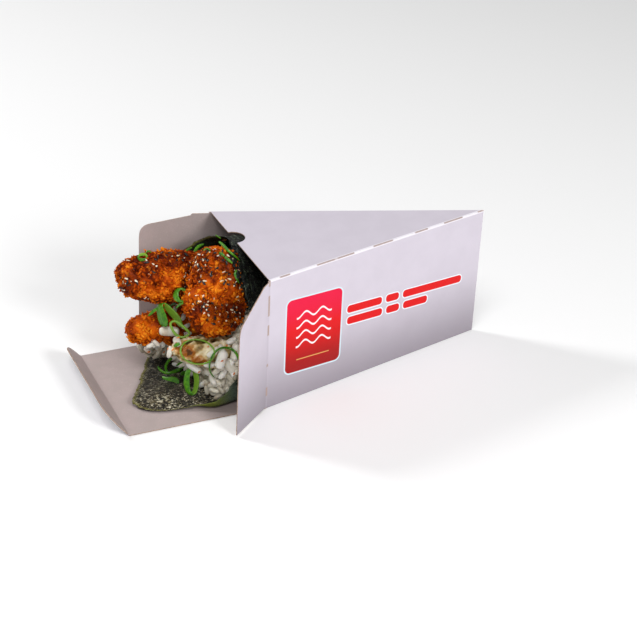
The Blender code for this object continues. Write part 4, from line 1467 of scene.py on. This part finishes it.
def onion_cut(name, rims, lifts, wall, closed, trees, place=None):
    """One cut of spring onion: a thin wall with rounded edges between its two rims."""
    near, far = rim_edges(rims, lifts, wall, closed, trees, place)
    middle = (near + far) / 2
    seed = sum(ord(letter) for letter in name)
    half = (near - far) / 2 * (1 + 0.12 * noise_at(middle, 4, shift=seed))[:, None]
    if closed:
        run = np.roll(middle, -1, 0) - np.roll(middle, 1, 0)
        outward = middle - middle.mean(axis=0)
        taper = np.ones(ONION_STEPS)
    else:
        run = np.gradient(middle, axis=0)
        outward = -np.array(camera_ways()[2]) * np.ones((ONION_STEPS, 1))
        share = np.linspace(0, 1, ONION_STEPS)
        taper = np.sqrt(np.clip(np.minimum(share, 1 - share) * 12, 0.02, 1))
    normal = unit(np.cross(run, half))
    normal *= np.sign(np.sum(normal * outward)) or 1
    turn = np.linspace(0, 2 * np.pi, ONION_CORNERS, endpoint=False)
    level = np.sign(np.cos(turn)) * np.abs(np.cos(turn)) ** 0.6
    through = np.sign(np.sin(turn)) * np.abs(np.sin(turn)) ** 0.6
    bulge = 0 if lifts is None or lifts[0] == lifts[1] else wall * 0.4
    points = middle[:, None] + (half * taper[:, None])[:, None] * level[:, None]
    thickness = wall / 2 * taper[:, None] * through + bulge * (1 - level**2)
    points = points + normal[:, None] * thickness[..., None]
    obj = mesh_from(name + "_cut", points.reshape(-1, 3), tube_faces(ONION_STEPS, ONION_CORNERS, closed))
    write_attribute(obj, "inner", np.ones((ONION_STEPS, 1)) * (through < -0.2))
    return outwards(obj)


def chunk_shape(point, chance):
    """A soft white piece along X, about 10 mm long, with flattened sides."""
    blunt = max(0.02, 1 - point.z**4) ** 0.25 / max(0.02, 1 - point.z**2) ** 0.5
    return point.z * 5.2, point.x * 2.6 * blunt, point.y * 2.0 * blunt


def make_loose(carriers):
    """Grains, soft white pieces and orange crumbs that lie loose between the rest."""
    trees = [tree_of(carrier) for carrier in carriers]
    # A lighter copy of the rice colour: painted light for the grains and chunks that lie in shade.
    white = rice_finish("rice_loose", "f8f6ee", "dcd7c8")
    grain = kind("loose_grain", grain_shape, (10, 11), 3)
    grains = laid("rice_loose_grains", LOOSE_RICE, grain, trees, white, 0.35, 1)
    chunk = kind("white_chunk", chunk_shape, (16, 14), 4)
    chunks = laid("rice_white_chunks", WHITE_CHUNKS, chunk, trees, white, 0.3, 2)
    crumb = kind("loose_crumb", crumb_shape, (6, 5), 5)
    over = trees + [tree_of(grains), tree_of(chunks)]
    rows = [(x, y, turn, length * LOOSE_CRUMB, breadth * LOOSE_CRUMB)
            for x, y, turn, length, breadth in LOOSE_CRUMBS]
    orange = seed_finish("crumb_orange", "f79a4c", "cf5c14", 0.5)
    crumbs = laid("breaded_loose_crumbs", rows, crumb, over, orange, 0.2, 3)
    put_on(grains, "rice")
    put_on(chunks, "rice")
    put_on(crumbs, "breaded_crust")
    return grains, chunks


def make_onion(carriers):
    """The cut rings and arcs that the solids have too, and shreds between them."""
    finish = onion_finish()
    trees = [tree_of(carrier) for carrier in carriers]
    for name, (rims, lifts, wall, closed) in ONION.items():
        obj = onion_cut(name, rims, lifts, wall, closed, trees, ONION_PLACES.get(name))
        obj.data.materials.append(finish)
        put_on(obj, "spring_onion", name)
    shreds = []
    for number, (line, breadths, stands_at) in enumerate(ONION_SHREDS):
        lifts = None if stands_at is None else (-1, -1)
        place = ONION_PLACES.get(stands_at)
        shreds.append(onion_cut(f"shred_{number}", sides(line, breadths), lifts, 0.8, False, trees, place))
    obj = joined("onion_shreds", shreds)
    obj.data.materials.append(finish)
    put_on(obj, "spring_onion")


# Seeds and crumbs

def seed_finish(name, light, dark, roughness):
    """One colour to another from piece to piece, with a fine grain."""
    paint = Paint(name, roughness, Specular_IOR_Level=0.5)
    shade = paint.mix(paint.attribute("tone"), light, dark)
    return paint.finish(Base_Color=shade, Normal=paint.bump(paint.noise(0.5, 2), 0.05))


def crumb_kinds():
    """Five flakes of crumb, none like another."""
    return [kind(f"crumb_{i}", crumb_shape, (6, 4), i) for i in range(5)]


def bare_outside(surface, bodies):
    """Cover for what lies on a crust: outside the other pieces and in front of the case's inside."""
    cover_outside(surface, bodies)
    scale_cover(surface, lambda points: points[:, 0] < CRUST_SHOWS)


def scale_cover(surface, share_at):
    """Makes the cover thinner by share_at(points), with the points in millimetres."""
    cover = surface.data.attributes["cover"].data
    values = np.empty(len(cover), np.float32)
    cover.foreach_get("value", values)
    points = np.empty(len(cover) * 3, np.float32)
    surface.data.vertices.foreach_get("co", points)
    cover.foreach_set("value", values * np.asarray(share_at(points.reshape(-1, 3) / MM), np.float32))


def near_spots(points, spots):
    """1 by the spots' centres and little elsewhere."""
    best = np.full(len(points), 0.07)
    for centre, radius in spots:
        away = np.linalg.norm(points - np.asarray(centre), axis=1)
        best = np.maximum(best, 1 - smooth_step(radius * 0.7, radius * 1.25, away))
    return best


def patchy(points):
    """How thick the loose crumb lies on a crust."""
    return 0.3 + 0.7 * smooth_step(-0.2, 0.25, noise_at(points, 8, shift=20))


def make_crusts():
    """The three fried pieces with their loose crumb and sesame."""
    plans = (
        ("breaded_front", BREADED_FRONT, (260, 300), FRONT_SAUCE, (0.085, 0.055),
         crust_finish("crust_orange", "641c00", "c45200", "fc9a20", 0.72, FRONT_SAUCE, FRONT_PAINTED_LIGHT)),
        ("breaded_back", BREADED_BACK, (320, 260), BACK_SAUCE, (0.055, 0.05),
         crust_finish("crust_red_brown", "541400", "b44600", "f48c1a", 0.66, BACK_SAUCE, BACK_PAINTED_LIGHT)),
        ("breaded_low", BREADED_LOW, (240, 180), LOW_SAUCE, (0.004, 0.006),
         crust_finish("crust_light", "842c00", "cc5c00", "f89a22", 0.5, LOW_SAUCE, LOW_PAINTED_LIGHT)),
    )
    crusts = [lump(node + "_crust", line, detail, crumb_relief) for node, line, detail, *_ in plans]
    white = seed_finish("sesame_white", "f2e8d2", "d2bc94", 0.4)
    black = seed_finish("sesame_black", "0b0a0a", "1d1a1a", 0.3)
    seeds = {"light": [], "dark": []}
    for number, (crust, plan) in enumerate(zip(crusts, plans)):
        node, _, _, sauce, amounts, finish = plan
        bare_outside(crust, [other for other in crusts if other is not crust])
        scale_cover(crust, patchy)
        crumbs = scatter(crust.name + "_crumbs", crust, crumb_kinds(), finish,
                         0.75, 0.95, (0.4, 1.7), 0.15, 0.75,
                         number)
        put_on(crumbs, "breaded_crust")
        scale_cover(crust, lambda points: near_spots(points, sauce) / patchy(points))
        for shade, seed_coat, amount, size, step in (("light", white, amounts[0], (0.6, 0.9), 10),
                                                     ("dark", black, amounts[1], (0.8, 1.15), 20)):
            source = [kind("seed", seed_shape, (8, 6))]
            seeds[shade].append(scatter(f"{shade}_{number}", crust, source, seed_coat, 1.7, amount, size,
                                        0.35, 0.5, number + step))
        crust.data.materials.append(finish)
        put_on(crust, "breaded_crust", node)
    for shade, parts in seeds.items():
        put_on(joined(f"sesame_{shade}", parts), "breaded_crust")
    return crusts


bpy.context.scene.view_settings.view_transform = "Standard"
make_stage()
make_light()
make_camera()
boards = (card_outside(), card_inside(), card_edge())
make_card(boards)
make_creases((crease_finish(), boards[1]))
nori = make_nori()
crusts = make_crusts()
cream = make_cream()
fold = make_nori_fold([tree_of(body) for body in (crusts[0], nori)])
rice = make_rice([*crusts, cream], nori)
loose = make_loose([*crusts, cream, *rice, nori])
make_onion([*crusts, cream, *rice, nori, fold, *loose])
